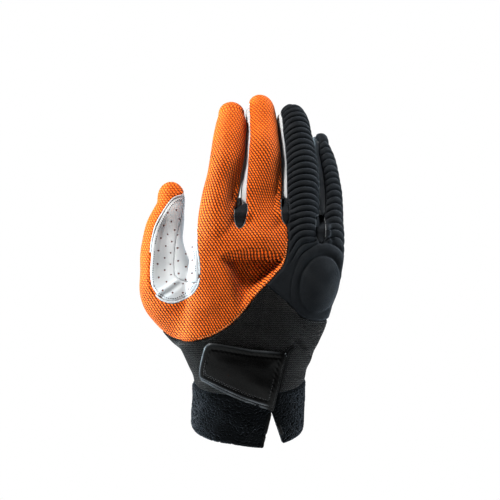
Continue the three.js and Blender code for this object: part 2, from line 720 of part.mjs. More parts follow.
// White strips between the fingers, and the palm that they leave. Over a web a strip's back end leans with
// the web's top.
function stripRegion(gusset, margin) {
  const [left, right] = gusset.fingers.map((name) => sections[name].slice(STRIP_FROM));
  const place = gusset.web;
  const end = place.back - WALL + margin;
  const overWeb = prism(
    [[place.left + 3, place.low - 4], [place.left + 3, place.high + 9], [place.right - 3, place.high + 9],
      [place.right - 3, place.low - 4]],
    gusset.depth,
    place.back + margin,
  );
  const beforeEnd = sidePrism([
    [-90, -100],
    [end - (place.high + 100) * STRIP_END_LEAN, -100],
    [end + (300 - place.high) * STRIP_END_LEAN, 300],
    [-90, 300],
  ]);
  return joined([
    wedge(left, BACK_PANEL_RIGHT - 9, STRIP_EDGE, margin),
    wedge(right, -STRIP_EDGE, BACK_PANEL_LEFT + 9, margin),
    overWeb.intersect(beforeEnd),
  ]);
}

const strips = {};
let palmLeather = leather;
for (const [name, gusset] of Object.entries(GUSSETS)) {
  strips[name] = bodies(leather.intersect(stripRegion(gusset, 0)))[0];
  palmLeather = palmLeather.subtract(stripRegion(gusset, GAP));
}

// The panel on the inner side of the thumb, in front of the thumb's hollow
const innerLine = smoothLine(THUMB_INNER_SEAM, 16);
const thumbFront = wedge(thumbSections, THUMB_PANEL_LEFT, THUMB_PANEL_RIGHT, GAP);
const innerArea = prism([...innerLine, ...THUMB_INNER_OUTSIDE]).intersect(thumbFront);
const innerCut = seamCut(innerLine).intersect(thumbFront);
const [thumbInnerPanel] = bodies(palmLeather.intersect(innerArea).subtract(innerCut)
  .intersect(wedge(thumbSections, THUMB_PANEL_LEFT, THUMB_PANEL_RIGHT)));
const [palm] = bodies(palmLeather.subtract(innerArea).subtract(innerCut));

// Strap over the back of the wrist
function strapShape() {
  const outline = new THREE.Shape();
  outline.moveTo(...STRAP_OUTLINE.start);
  STRAP_OUTLINE.top.forEach((point) => outline.lineTo(...point));
  outline.quadraticCurveTo(...STRAP_OUTLINE.topCorner[0], ...STRAP_OUTLINE.topCorner[1]);
  outline.lineTo(...STRAP_OUTLINE.end);
  outline.quadraticCurveTo(...STRAP_OUTLINE.bottomCorner[0], ...STRAP_OUTLINE.bottomCorner[1]);
  STRAP_OUTLINE.bottom.forEach((point) => outline.lineTo(...point));
  outline.lineTo(...STRAP_OUTLINE.finish);
  return outline.getPoints(4).slice(0, -1).map((point) => [point.x, point.y]);
}

const overWrist = handSections.slice(0, STRAP_SECTIONS);
const [strap] = bodies(
  tube(overWrist, HAND_SIDES, STRAP_LIFT + STRAP_THICKNESS)
    .subtract(tube(overWrist, HAND_SIDES, STRAP_LIFT))
    .intersect(prism(strapShape(), -90, 0)),
);

const FINISHES = {
  orangeMesh: { color: 0xf0761c, roughness: 0.85, metalness: 0 },
  paddedFabric: { color: 0x1d2126, roughness: 0.9, metalness: 0 },
  blackKnit: { color: 0x17191c, roughness: 0.95, metalness: 0 },
  whiteLeather: { color: 0xe9ebec, roughness: 0.6, metalness: 0 },
  blackMesh: { color: 0x1c1f24, roughness: 0.9, metalness: 0 },
  terry: { color: 0x20252b, roughness: 1, metalness: 0 },
  strapLeather: { color: 0x191c1f, roughness: 0.45, metalness: 0 },
};

const glove = new THREE.Group();

function addPiece(name, solid, finish) {
  const mesh = new THREE.Mesh(
    toGeometry(solid),
    new THREE.MeshStandardMaterial(FINISHES[finish]),
  );
  mesh.name = name;
  glove.add(mesh);
}

addPiece('orange_mesh_back', orangeBack, 'orangeMesh');
addPiece('ribbed_back', ribbedBack, 'paddedFabric');
addPiece('knit_lower_back', knitBack, 'blackKnit');
addPiece('leather_palm', palm, 'whiteLeather');
addPiece('thumb_inner_panel', thumbInnerPanel, 'whiteLeather');
addPiece('terry_cuff', cuff, 'terry');
addPiece('strap_tab', strap, 'strapLeather');
for (const name of Object.keys(GUSSETS)) {
  addPiece(`side_strip_${name}`, strips[name], 'whiteLeather');
  addPiece(`gusset_${name}`, gussets[name], 'blackMesh');
}

export default glove;
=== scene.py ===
"""Racquetball glove for the right hand, dressed panel by panel over its solids.

Lengths are worked out in millimetres and written to Blender in metres. The back of the hand faces -Y,
the fingers point up and +X is towards the little finger, as in the solids.
"""

import math

import bpy
import numpy as np
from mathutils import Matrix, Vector
from mathutils.bvhtree import BVHTree
from mathutils.kdtree import KDTree


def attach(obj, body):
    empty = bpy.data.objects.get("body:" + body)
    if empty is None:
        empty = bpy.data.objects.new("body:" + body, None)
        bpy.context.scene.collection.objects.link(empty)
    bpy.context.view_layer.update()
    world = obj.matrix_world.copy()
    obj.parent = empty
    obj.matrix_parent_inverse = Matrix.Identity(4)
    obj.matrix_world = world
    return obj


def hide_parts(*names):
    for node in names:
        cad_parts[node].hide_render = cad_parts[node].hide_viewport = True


bl_info = {
    "name": "Racquetball Glove",
    "version": (1, 0, 0),
    "blender": (4, 5, 0),
    "location": "View3D > Sidebar > Glove",
    "description": "Cuts, pads and finishes the panels of a worn racquetball glove",
    "category": "Object",
}

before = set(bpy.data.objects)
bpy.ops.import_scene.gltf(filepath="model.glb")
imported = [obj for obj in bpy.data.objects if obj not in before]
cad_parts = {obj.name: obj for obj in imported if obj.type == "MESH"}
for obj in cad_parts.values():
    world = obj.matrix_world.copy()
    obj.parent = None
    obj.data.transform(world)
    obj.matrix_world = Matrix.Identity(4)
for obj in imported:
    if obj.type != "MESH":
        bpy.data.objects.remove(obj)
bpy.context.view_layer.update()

# Metres in a millimetre
MM = 0.001

# Cross sections of the hand: z, left, right, y of the middle, depth, turn of the back, squareness
HAND_ROWS = [
    (-9, -37.1, 35.2, 21, 48, 1, 2.05),
    (2, -37, 35.7, 16.2, 48, 1, 2.05),
    (15, -36.1, 36, 10.6, 47, 3, 2.1),
    (28, -35.2, 36.4, 5, 46, 5, 2.1),
    (38, -37.3, 38.7, 1.4, 42, 7, 2.15),
    (48, -42.3, 43.2, -1.6, 39, 8, 2.2),
    (58, -45.5, 47.8, -3.8, 37, 10, 2.3),
    (70, -43, 52.2, -5.4, 36, 10, 2.35),
    (84, -40.6, 56.2, -6.4, 35, 10, 2.4),
    (98, -39.2, 59.6, -6.6, 34, 11, 2.4),
    (110, -38, 61.1, -6, 32, 11, 2.4),
    (120, -35.6, 61.4, -5, 28, 11, 2.3),
    (129, -31.5, 59.5, -3.6, 19, 11, 2.1),
    (133, -27, 56, -3, 9, 11, 2),
]

# Fingers: turn of the back, point of the tip, and sections of z, left, right, y of the middle, depth
FINGERS = {
    "index": (4, (-11, 24, 206.8), [
        (104, -29, -11, -9.6, 18), (120, -33.6, -8.6, -10.2, 25), (135, -32.3, -8.4, -9, 24),
        (147, -29.9, -7.2, -6.6, 22.5), (160, -27.3, -4.9, -2.6, 21.5), (176, -24.4, -2.5, 4, 20.5),
        (194.3, -21.6, -1.4, 13.8, 19), (201, -19.8, -2.6, 18, 17.4),
    ]),
    "middle": (9, (7, 31.8, 214.2), [
        (104, -3, 19, -6, 18), (122, -4.4, 22.2, -5.6, 25), (147, -4.3, 21.8, -2.2, 23),
        (160.6, -3.3, 21.7, 1.8, 22), (176.2, -1.5, 21, 8.2, 21), (188, -0.6, 19.8, 14.4, 20),
        (200, -0.8, 18.1, 21.6, 19),
    ]),
    "ring": (18, (27.8, 33.8, 208.4), [
        (104, 25, 43, -4.6, 21), (122, 23.6, 45, -2.2, 25), (147, 22.6, 45.6, 4.2, 23),
        (160.6, 22.5, 45.8, 8.6, 22.5), (171.6, 22.1, 44.5, 12.8, 22), (182, 21.3, 42.6, 17.6, 21),
        (191.8, 20.3, 40.2, 22.8, 20),
    ]),
    "little": (30, (46.6, 38.6, 189.3), [
        (96, 44.5, 59, 0.5, 16), (114, 43, 60.8, 3, 21), (132.6, 44.6, 60.4, 9.8, 20),
        (147, 45, 60, 16, 19), (157.3, 44.2, 58.7, 21, 18), (166.4, 43.2, 57.4, 25.2, 17),
        (175, 42, 54.8, 29.6, 16), (182, 42.6, 51.6, 33.4, 14),
    ]),
}

# Thumb: turn, point of the tip, and sections of x, y, z of the middle, width, depth
THUMB = (-12, (-50, 14, 157.8), [
    (-12, 3, 40, 28, 26), (-28, 1, 58, 35, 31), (-44.5, -1, 77, 39, 31), (-51, -0.5, 88.5, 40.5, 29),
    (-54, 0.6, 101, 34.4, 26.5), (-55.4, 3, 117.5, 28.4, 24), (-53.4, 7, 132.5, 23.4, 21.5),
    (-51, 10.5, 143, 18.2, 18.5),
])
TUBES = ("hand", "index", "middle", "ring", "little", "thumb")

# Seam lines on the back, as x and z
ORANGE_SEAM = [
    (-80, 78), (-66, 70), (-53.6, 59.8), (-46.5, 55.9), (-39.3, 54.6), (-31.5, 55.9), (-21.8, 59.2),
    (-10.7, 66.3), (-2.3, 74.8), (1, 79.3), (7.5, 87.1), (11.8, 91.7), (21.5, 102.1), (24.7, 109.9),
    (25.7, 119.3), (25, 129), (22.3, 137), (22.1, 150), (21.9, 180), (19.7, 200), (18, 240),
]
PADDED_SEAM = [
    (-20, 114), (8.6, 93.2), (20.5, 83.8), (28.3, 76.7), (33.9, 70.9), (41.5, 67.9), (50.9, 68.4), (64, 74),
    (90, 86),
]
THUMB_WINDOW = [
    (-43.2, 148.9), (-48.4, 146.9), (-53.6, 140.4), (-59.5, 129.4), (-62.1, 119.6), (-63.1, 107.9),
    (-63.8, 98.8), (-63.2, 91), (-60.1, 85.8), (-55.6, 81.9), (-48.7, 80.3), (-41.9, 82.6), (-36.1, 86.5),
    (-32.8, 91.7), (-31.9, 97.5), (-32.4, 106.6), (-33.5, 116.4), (-34.1, 126.8), (-37.5, 135),
]
WINDOW_OUTSIDE = [(-38.6, 141), (-39.5, 151), (-42, 151)]
THUMB_INNER_SEAM = [
    (-42.4, 152), (-43.2, 142.3), (-44.5, 127.4), (-46.5, 115), (-47.8, 102.4), (-46.8, 96.9),
    (-41.6, 93.6), (-31, 92.4),
]
INNER_OUTSIDE = [(-31, 76), (-70, 76), (-70, 152)]
WRIST_SLIT = [(15, 8.5), (16.8, 13), (20.8, 29), (25, 47.5), (29, 51.5)]
CUFF_NOTCH = [(15, 9.1), (9.2, -14.7), (7.8, -26), (27.5, -26), (22.7, -12.4)]

# Crotches: the fingers on both sides, outline of the gusset, how deep it reaches, and the web behind it
GUSSETS = {
    "index_middle": {
        "fingers": ("index", "middle"),
        "outline": [
            (-8.4, 141), (-4.6, 143.2), (-1, 143.6), (-1.2, 137.5), (-2.9, 131), (-5.4, 128.2),
            (-7.6, 129.6), (-8.8, 135),
        ],
        "depth": -3,
        "web": (-14, 2, -15, 3, 138, 148),
    },
    "middle_ring": {
        "fingers": ("middle", "ring"),
        "outline": [
            (21.4, 146.6), (24, 147.2), (25.8, 145.6), (26, 138), (25.6, 132.4), (24, 130.4), (22.4, 133.6),
            (21.5, 140),
        ],
        "depth": 1,
        "web": (16, 30, -11, 7, 138, 149),
    },
    "ring_little": {
        "fingers": ("ring", "little"),
        "outline": [
            (44.2, 135), (46.4, 136.6), (48.6, 135.6), (49.7, 129), (49.5, 122.4), (47.5, 118.2),
            (45.2, 120.6), (44, 127),
        ],
        "depth": 5,
        "web": (38, 53, -8, 11, 127, 140),
    },
}

# Seams between back and palm, left and right, in degrees from the middle of the back
SEAMS = {
    "hand": (-100, ((60, 104), (98, 112))),
    "index": (-112, 86),
    "middle": (((150, -62), (180, -70)), 88),
    "ring": (-71, 78),
    "little": (-54, ((114, 86), (140, 112))),
    "thumb": (((55, -92), (95, -128)), 100),
}
# Angles of a side strip's two edges, and how far it goes on under the back
STRIP_ANGLES = (69, 118)
STRIP_UNDER = 20
# How far the back laps over a tip
TIP_OVERLAP = 1.5
# At which angle the side strips carry on up the tips, how far, and over which width
TIP_STRIP = {"index": (105, 7), "middle": (-108, 17), "ring": (-112, 19), "little": (-122, 13)}
TIP_STRIP_WIDTH = 50
# The leather over a web: distance from the web's sides and back, how far it passes it below and above, and
# how deep the web reaches
WEB_SIDE = 3
WEB_BACK = 1.5
WEB_BELOW = 4
WEB_ABOVE = 9
WEB_DEPTH = 14
# Value of a field far from its seam
FAR = 9.0
# Heights between which the fingers take over the seam of the mesh
FINGER_ROOTS = (132, 140)
# Reach of the thumb's own panels over its skin
THUMB_REACH = 3
# Half width of the wrist slit
SLIT_HALF = 0.3

# Planes that lean from front to back: slope, y and z
CUFF_SEAM = (0.4, 5, 28)
CUFF_MOUTH = (0.62, 17, 0)
# The cuff's lower edge sinks by this much between two places across
CUFF_DROP = (3.2, -14, 10)
# The slit, the notch and the window's stitches reach back to this y
FRONT_ONLY = 5
# The leather's folds, hollow and holes reach back to this y
LEATHER_FRONT = 8
# The window's stitches stand where the leather's normal points this far to the front
WINDOW_FACING = -0.15

# Knuckle pad: middle, half sizes and lean
PAD = {"x": 46.2, "z": 91.7, "across": 12.6, "along": 18.6, "lean": 14}
# Radius at which its dome ends, and the rings round it: radius, half width and height
PAD_DOME = 1.08
PAD_RINGS = ((1.24, 0.13, 1.0), (1.02, 0.06, -1.1), (1.46, 0.05, -0.8))
# The ribs round the pad: the distance between them, and the radius of a valley
PAD_PITCH = 4.3
PAD_START = 1.5
# The fingers' ribs: the angle of their highest point, and where they meet the ribs round the pad
RIBS = {"ring": (10, (34, 0, 128)), "little": (6, (54, 4, 114))}
# Stitches show along the padded fabric's lower seam from this x on
SEAM_SEEN_FROM = 32

# Dent below the knuckles: its soft left side, its steep upper edge, where both begin and end, its depth, and
# how far below the edge it fades
DENT = {
    "side": [(-26, 122), (-20, 111), (-14, 101), (-10, 88), (-8, 74)],
    "side_edge": (-2, 9),
    "top": [(-34, 106), (-20, 109.5), (-10, 112.5), (2, 114), (14, 113), (30, 108)],
    "top_edge": (-0.5, 5),
    "depth": 10.5, "near": 15, "far": 46,
}
# Knuckles and finger joints that stand out, and dips below them: x, z, half width, half length and height
KNUCKLES = [
    (-20, 123, 10, 9, 1.2), (8, 123, 11, 9, 2), (9, 182, 11, 9, 1.8), (12, 149, 12, 15, -5.2),
    (-17, 173, 9, 8, 1.0), (-9, 153, 6, 13, -2.6),
]

# Places where the cloth bridges the crease between two tubes: middle, reach and passes
CREASES = [
    ((-27, -14, 62), (20, 16, 30), 90),
    ((-34, -12, 80), (12, 12, 16), 30),
    ((-46, -12, 62), (16, 14, 20), 80),
]
# Pucker over the slit, and the fold and the valley below it at the root of the thumb, as x and z
PUCKER = [(30, 55), (35, 50)]
THUMB_FOLD = [(-58.5, 85.5), (-52, 89.8), (-45.5, 94.6)]
THUMB_VALLEY = [(-57, 83.4), (-50, 87.2), (-44.5, 91.4)]
# Hollow in the thumb's panel: x of its middle, half width and depth, and the heights of its two ends
THUMB_HOLLOW = {"x": -52.5, "wide": 7.5, "deep": 4.6, "low": (86, 106), "high": (122, 142)}

# The strap's outline, from its sewn end along the top, round the free end and back below
STRAP_OUTLINE = [
    (24.4, 47.9), (1.6, 50), (-20, 54), (-26, 53.9), (-28.6, 51), (-30, 46), (-31.4, 38), (-31, 32.2),
    (-27.4, 29.9), (-22, 26.8), (-14, 22.8), (-4.2, 18.4), (4.9, 15), (15.6, 11.6),
]
# The net that it is cut from: range across, range of heights, and step
STRAP_NET = ((-36, 30), (4, 60), 0.6)
# How far the strap's lower layer is shifted, across and up
BASE_SHIFT = (0.4, -2.3)
# A y in front of the whole glove, from which the strap is laid on it
IN_FRONT = -90

# Steps between two rows of a tube, between two points of a seam line, and along an arc
ROW_STEPS = 8
LINE_STEPS = 4
ARC_STEPS = 16
# Shares of the way to a tip at which the rings of its cap lie, and the least half size of a ring
TIP_SHARES = (0.12, 0.25, 0.38, 0.5, 0.62, 0.72, 0.81, 0.88, 0.94, 0.98)
LEAST_RING = 0.3
# Least half size of a section when the place of a point is looked for
LEAST_SECTION = 1.5
# Points round a section, and squareness of the sections of fingers and thumb
HAND_SIDES = 96
FINGER_SIDES = 64
FINGER_SQUARENESS = 2.1
# The form is made this much smaller all over, so that neighbouring fingers stay apart
FORM_INSET = 0.5
# Steps towards the neighbours and back, which smooth the form and keep its size
RELAX_SHARES = (0.6, -0.61)
# How far a point moves to its neighbours' mean in the middle of a crease
SOFTEN_SHARE = 0.9
# Smoothing steps of the form and of the strap
FORM_PASSES = 6
STRAP_PASSES = 4
# Distance over which the fields of neighbouring tubes mix
BLEND_REACH = 1.6
# Points nearer than this to a cut are kept
SNAP = 0.05
# Distance between the points of a path along an edge
PATH_STEP = 0.5
# Passes of the unwrap that keeps sizes
EVEN_STEPS = 9
SEED = 7
# Heights at which the cloth's threads begin to follow each finger
FINGER_STARTS = {"index": 122, "middle": 122, "ring": 122, "little": 110}
FINGER_BLEND = 36
# Least widths, in metres, that a strip and a sheet are stated with, and the least share of its box that one
# fills.
# A stitch: places of its rings along it, their sizes, and the points round each
STITCH_PLACES = np.array([-1, -0.72, 0, 0.72, 1])
STITCH_SIZES = np.array([0.25, 0.8, 1, 0.8, 0.25])
STITCH_SIDES = 6
# How near a point is to a line that it counts as on, beyond the cut's own reach
LINE_SLACK = 0.02
# Waves in space that are added up
WAVE_COUNT = 9
# Loops of the terry: how many, how far they stray from the cloth's points, and their radius
LOOP_COUNT = 9000
LOOP_STRAY = 0.15
LOOP_RADIUS = 0.75


class GloveSizes(bpy.types.PropertyGroup):
    """Sizes that a user may change before the glove is made."""

    voxel: bpy.props.FloatProperty(
        name="Form detail", description="Size of the faces of the glove's form, in millimetres",
        default=0.9, min=0.5, max=2,
    )
    wall: bpy.props.FloatProperty(
        name="Cloth thickness", description="Thickness of mesh, knit and leather, in millimetres",
        default=1.2, min=0.5, max=3,
    )
    seam_gap: bpy.props.FloatProperty(
        name="Seam gap", description="Half the gap between two panels, in millimetres", default=0.12,
        min=0.02, max=0.5,
    )
    seam_dip: bpy.props.FloatProperty(
        name="Seam dip", description="How far a panel sinks at its seams, in millimetres", default=0.8,
        min=0, max=2,
    )
    rib_height: bpy.props.FloatProperty(
        name="Rib height", description="Height of the padded ribs, in millimetres", default=1.7,
        min=0, max=3,
    )
    ring_pitch: bpy.props.FloatProperty(
        name="Ring finger ribs", description="Distance between ribs on the ring finger, in millimetres",
        default=4.1, min=2, max=8,
    )
    little_pitch: bpy.props.FloatProperty(
        name="Little finger ribs", description="Distance between ribs on the little finger, in millimetres",
        default=4.6, min=2, max=8,
    )
    pad_height: bpy.props.FloatProperty(
        name="Pad height", description="Height of the knuckle pad, in millimetres", default=3.2,
        min=0, max=6,
    )
    loop_height: bpy.props.FloatProperty(
        name="Terry loops", description="Height of the cuff's loops, in millimetres", default=0.85,
        min=0, max=2,
    )


class GloveColours(bpy.types.PropertyGroup):
    """Colours of the glove's materials."""

    orange: bpy.props.FloatVectorProperty(
        name="Mesh", description="Colour of the back's mesh", subtype="COLOR", default=(0.88, 0.18, 0.016),
    )
    leather: bpy.props.FloatVectorProperty(
        name="Leather", description="Colour of palm and thumb leather", subtype="COLOR",
        default=(0.37, 0.385, 0.4),
    )
    padded: bpy.props.FloatVectorProperty(
        name="Padded fabric", description="Colour of the ribbed fabric", subtype="COLOR",
        default=(0.0075, 0.0095, 0.012),
    )
    knit: bpy.props.FloatVectorProperty(
        name="Knit", description="Colour of the knit over the wrist", subtype="COLOR",
        default=(0.0018, 0.0018, 0.0018),
    )
    terry: bpy.props.FloatVectorProperty(
        name="Terry", description="Colour of the cuff", subtype="COLOR", default=(0.0026, 0.0033, 0.0038),
    )
    strap: bpy.props.FloatVectorProperty(
        name="Strap", description="Colour of the strap", subtype="COLOR", default=(0.0014, 0.0014, 0.0014),
    )


# Curves, tubes and fields

def catmull(rows, steps):
    """Rows of numbers resampled along a smooth curve through them."""
    rows = np.asarray(rows, float)
    ends = np.vstack([2 * rows[0] - rows[1], rows, 2 * rows[-1] - rows[-2]])
    t = np.linspace(0, 1, steps, endpoint=False)[:, None]
    parts = [
        0.5 * (2 * b + (c - a) * t + (2 * a - 5 * b + 4 * c - d) * t ** 2 + (3 * b - a - 3 * c + d) * t ** 3)
        for a, b, c, d in zip(ends, ends[1:], ends[2:], ends[3:])
    ]
    return np.vstack(parts + [rows[-1:]])


def unit(vectors):
    """Vectors of length one."""
    return vectors / np.maximum(np.linalg.norm(vectors, axis=-1, keepdims=True), 1e-9)


def signed_power(values, power):
    """Powers that keep the sign."""
    return np.sign(values) * np.abs(values) ** power


def smoothstep(values, low, high):
    """A soft step from 0 at low to 1 at high."""
    t = np.clip((values - low) / (high - low), 0, 1)
    return t * t * (3 - 2 * t)


def bell(values, width):
    """A bump of height one and the given half width."""
    return np.exp(-(values / width) ** 2)


def ring_faces(count, sides):
    """Faces of a row of rings with the same number of points, closed at both ends."""
    faces = []
    for i in range(count - 1):
        for j in range(sides):
            k = (j + 1) % sides
            faces.append((i * sides + j, i * sides + k, (i + 1) * sides + k, (i + 1) * sides + j))
    faces.append(tuple(range(sides))[::-1])
    faces.append(tuple(range((count - 1) * sides, count * sides)))
    return faces


def joined(parts):
    """Several pieces of mesh as one list of points and faces."""
    points = np.vstack([part[0] for part in parts])
    faces = []
    start = 0
    for part_points, part_faces in parts:
        faces += [tuple(start + i for i in face) for face in part_faces]
        start += len(part_points)
    return points, faces


def linked_object(name, points, faces):
    """An object in the scene with a mesh of points and faces."""
    mesh = bpy.data.meshes.new(name)
    mesh.from_pydata(points.tolist(), [], faces)
    made = bpy.data.objects.new(name, mesh)
    bpy.context.collection.objects.link(made)
    return made


def remove_with_mesh(made):
    """Takes a helper object and its mesh out again."""
    mesh = made.data
    bpy.data.objects.remove(made)
    bpy.data.meshes.remove(mesh)


def corner_points(mesh):
    """The number of the point at each corner of a mesh."""
    index = np.empty(len(mesh.loops), np.int32)
    mesh.loops.foreach_get("vertex_index", index)
    return index


def edit_whole(made):
    """Puts one object in edit mode with all of it selected."""
    bpy.ops.object.select_all(action="DESELECT")
    bpy.context.view_layer.objects.active = made
    made.select_set(True)
    bpy.ops.object.mode_set(mode="EDIT")
    bpy.ops.mesh.select_all(action="SELECT")


def nearest_distance(places, points):
    """Distance from each point to the nearest of some places."""
    tree = KDTree(len(places))
    for i, place in enumerate(places):
        tree.insert(place, i)
    tree.balance()
    return np.array([tree.find(point)[2] for point in points])


class Tube:
    """A bent tube of rounded sections, with the places of points found in its own coordinates."""

    def __init__(self, rows, tip=None, widths_across_x=True, upright=False):
        """Rows of x, y, z, width, depth, turn and squareness. Upright sections don't lean sideways."""
        rows = np.asarray(rows, float)
        self.upright = upright
        across = self.axes(rows[:, :3], rows[:, 5])[2]
        if widths_across_x:
            rows[:, 3] /= np.maximum(np.abs(across[:, 0]), 0.5)
        rows = catmull(rows, ROW_STEPS)
        self.body_rows = len(rows)
        if tip is not None:
            last = rows[-1]
            caps = []
            for share in TIP_SHARES:
                shrink = math.sqrt(1 - share ** 3)
                caps.append(np.concatenate([
                    last[:3] + (np.array(tip) - last[:3]) * share, last[3:5] * shrink, last[5:],
                ]))
            rows = np.vstack([rows, caps])
        self.mid = rows[:, :3]
        self.half = rows[:, 3:5] / 2
        self.square = rows[:, 6]
        self.along, self.out, self.across = self.axes(self.mid, rows[:, 5])
        steps = np.linalg.norm(np.diff(self.mid, axis=0), axis=1)
        self.length = np.concatenate([[0], np.cumsum(steps)])
        self.cap_start = self.length[self.body_rows - 1] if tip is not None else np.inf

    def axes(self, mid, turn):
        """Directions along the tube, out of its back and across it."""
        along = np.gradient(mid, axis=0)
        if self.upright:
            along[:, 0] = 0
        along = unit(along)
        angle = np.radians(turn)
        out = np.stack([np.sin(angle), -np.cos(angle), np.zeros(len(mid))], axis=1)
        out = unit(out - (out * along).sum(axis=1)[:, None] * along)
        return along, out, np.cross(along, out)

    def mesh(self, sides):
        """Points and faces of the tube, closed at both ends."""
        angle = np.linspace(-math.pi, math.pi, sides, endpoint=False)
        power = (2 / self.square)[:, None]
        half = np.maximum(self.half - FORM_INSET, LEAST_RING)
        side = signed_power(np.sin(angle)[None], power) * half[:, :1]
        front = signed_power(np.cos(angle)[None], power) * half[:, 1:]
        rings = self.mid[:, None] + side[..., None] * self.across[:, None]
        rings = rings + front[..., None] * self.out[:, None]
        return rings.reshape(-1, 3), ring_faces(len(self.mid), sides)

    def locate(self, points):
        """For each point: length along the tube, angle from the middle of the back, and distance."""
        square = (points ** 2).sum(axis=1)[:, None] + (self.mid ** 2).sum(axis=1)[None]
        nearest = (square - 2 * points @ self.mid.T).argmin(axis=1)
        ahead = ((points - self.mid[nearest]) * self.along[nearest]).sum(axis=1)
        low = np.clip(np.where(ahead < 0, nearest - 1, nearest), 0, len(self.mid) - 2)
        high = low + 1
        before = ((points - self.mid[low]) * self.along[low]).sum(axis=1)
        after = ((points - self.mid[high]) * self.along[high]).sum(axis=1)
        share = before / np.where(np.abs(before - after) < 1e-6, 1e-6, before - after)
        share = np.clip(share, 0, 1)[:, None]
        past_end = np.maximum(after, 0) * (high == len(self.mid) - 1)
        beyond = np.maximum(np.maximum(-before, 0) * (low == 0), past_end)

        def between(rows):
            return rows[low] * (1 - share) + rows[high] * share

        across = unit(between(self.across))
        half = np.maximum(between(self.half), LEAST_SECTION)
        square = self.square[low]
        away = points - between(self.mid)
        side = (away * across).sum(axis=1)
        front = (away * unit(between(self.out))).sum(axis=1)
        wide = side / half[:, 0]
        deep = front / half[:, 1]
        level = (np.abs(wide) ** square + np.abs(deep) ** square) ** (1 / square)
        radius = np.hypot(side, front)
        gap = radius * (1 - 1 / np.maximum(level, 1e-3))
        distance = np.where(beyond > 0, np.hypot(np.maximum(gap, 0), beyond), gap)
        angle = np.degrees(np.arctan2(signed_power(wide, square / 2), signed_power(deep, square / 2)))
        length = between(self.length[:, None])[:, 0] + beyond * (high == len(self.mid) - 1)
        return {
            "length": length, "angle": angle, "distance": distance, "radius": radius, "half": half,
            "side": side, "across": across[:, [0, 2]],
        }


def make_tubes():
    """The tubes of hand, fingers and thumb."""
    tubes = {}
    tubes["hand"] = Tube([
        ((left + right) / 2, y, z, right - left, depth, turn, square)
        for z, left, right, y, depth, turn, square in HAND_ROWS
    ], upright=True)
    for name, (turn, tip, rows) in FINGERS.items():
        tubes[name] = Tube([
            ((left + right) / 2, y, z, right - left, depth, turn, FINGER_SQUARENESS)
            for z, left, right, y, depth in rows
        ], tip)
    turn, tip, rows = THUMB
    tubes["thumb"] = Tube([(*row, turn, FINGER_SQUARENESS) for row in rows], tip, False)
    return tubes


def line_distance(points, line, closed=False):
    """Distance from a line over x and z, and the side of its nearest stretch: above zero on the left."""
    line = np.asarray(line, float)
    start = line
    end = np.roll(line, -1, axis=0)
    if not closed:
        start, end = start[:-1], end[:-1]
    place = points[:, [0, 2]]
    best = np.full(len(place), np.inf)
    side = np.zeros(len(place))
    for a, b in zip(start, end):
        step = b - a
        share = np.clip(((place - a) @ step) / (step @ step), 0, 1)
        away = place - a - share[:, None] * step
        distance = np.hypot(away[:, 0], away[:, 1])
        turn = step[0] * (place[:, 1] - a[1]) - step[1] * (place[:, 0] - a[0])
        closer = distance < best
        best = np.where(closer, distance, best)
        side = np.where(closer, np.sign(turn), side)
    return best, side


def inside_outline(points, outline):
    """Distance to an outline over x and z, above zero inside it."""
    outline = np.asarray(outline, float)
    distance, _ = line_distance(points, outline, closed=True)
    x, z = points[:, 0], points[:, 2]
    inside = np.zeros(len(points), bool)
    for (xa, za), (xb, zb) in zip(outline, np.roll(outline, -1, axis=0)):
        crosses = (za > z) != (zb > z)
        rise = zb - za if abs(zb - za) > 1e-9 else 1e-9
        inside ^= crosses & (x < (xb - xa) * (z - za) / rise + xa)
    return np.where(inside, distance, -distance)


def seam_angle(seam, height):
    """The angle of a seam at a height: a plain number, or one that changes between two heights."""
    if isinstance(seam, (int, float)):
        return np.full(len(height), float(seam))
    (low, first), (high, second) = seam
    return np.interp(height, [low, high], [first, second])


def between_seams(place, height, seams):
    """Millimetres inside the stretch between two seams of a tube."""
    left = place["angle"] - seam_angle(seams[0], height)
    right = seam_angle(seams[1], height) - place["angle"]
    return np.minimum(left, right) * np.pi / 180 * place["radius"]


def arc_across(place):
    """Millimetres round a tube's section from the middle of its back, above zero on the right."""
    angle = np.radians(place["angle"])
    turn = angle[:, None] * (np.arange(ARC_STEPS) + 0.5) / ARC_STEPS
    speed = np.hypot(place["half"][:, :1] * np.cos(turn), place["half"][:, 1:] * np.sin(turn))
    return angle * speed.mean(axis=1)


def weave_map(points, places):
    """Where each point lies on the back's cloth: plain x and z on the hand, across and along each finger."""
    height = points[:, 2]
    flat = points[:, [0, 2]].copy()
    extra = {name: arc_across(places[name]) - places[name]["side"] for name in ("hand", "thumb")}
    below_thumb = 1 - smoothstep(height, 50, 62)
    extra["hand"] = np.maximum(extra["hand"], 0) + np.minimum(extra["hand"], 0) * below_thumb
    extra["hand"] *= 1 - smoothstep(height, 96, 118)
    extra["thumb"] = np.minimum(extra["thumb"], 0)
    shift = {name: extra[name][:, None] * places[name]["across"] for name in extra}
    others = np.stack([places[name]["distance"] for name in ("hand", *FINGERS)]).min(axis=0)
    share = smoothstep(others - places["thumb"]["distance"], -4, 4)[:, None]
    flat += shift["thumb"] * share + shift["hand"] * (1 - share)
    near = np.stack([places[name]["distance"] for name in (*FINGERS, "thumb")]).argmin(axis=0)
    for i, name in enumerate(FINGERS):
        tube, low = TUBE_SET[name], FINGER_STARTS[name]
        start = int(np.abs(tube.mid[:, 2] - low).argmin())
        own = np.stack([
            tube.mid[start, 0] + arc_across(places[name]),
            tube.mid[start, 2] + places[name]["length"] - tube.length[start],
        ], axis=1)
        share = (smoothstep(height, low, low + FINGER_BLEND) * (near == i))[:, None]
        flat = flat * (1 - share) + own * share
    return flat.T


# The glove's whole form, and the sheets cut from it

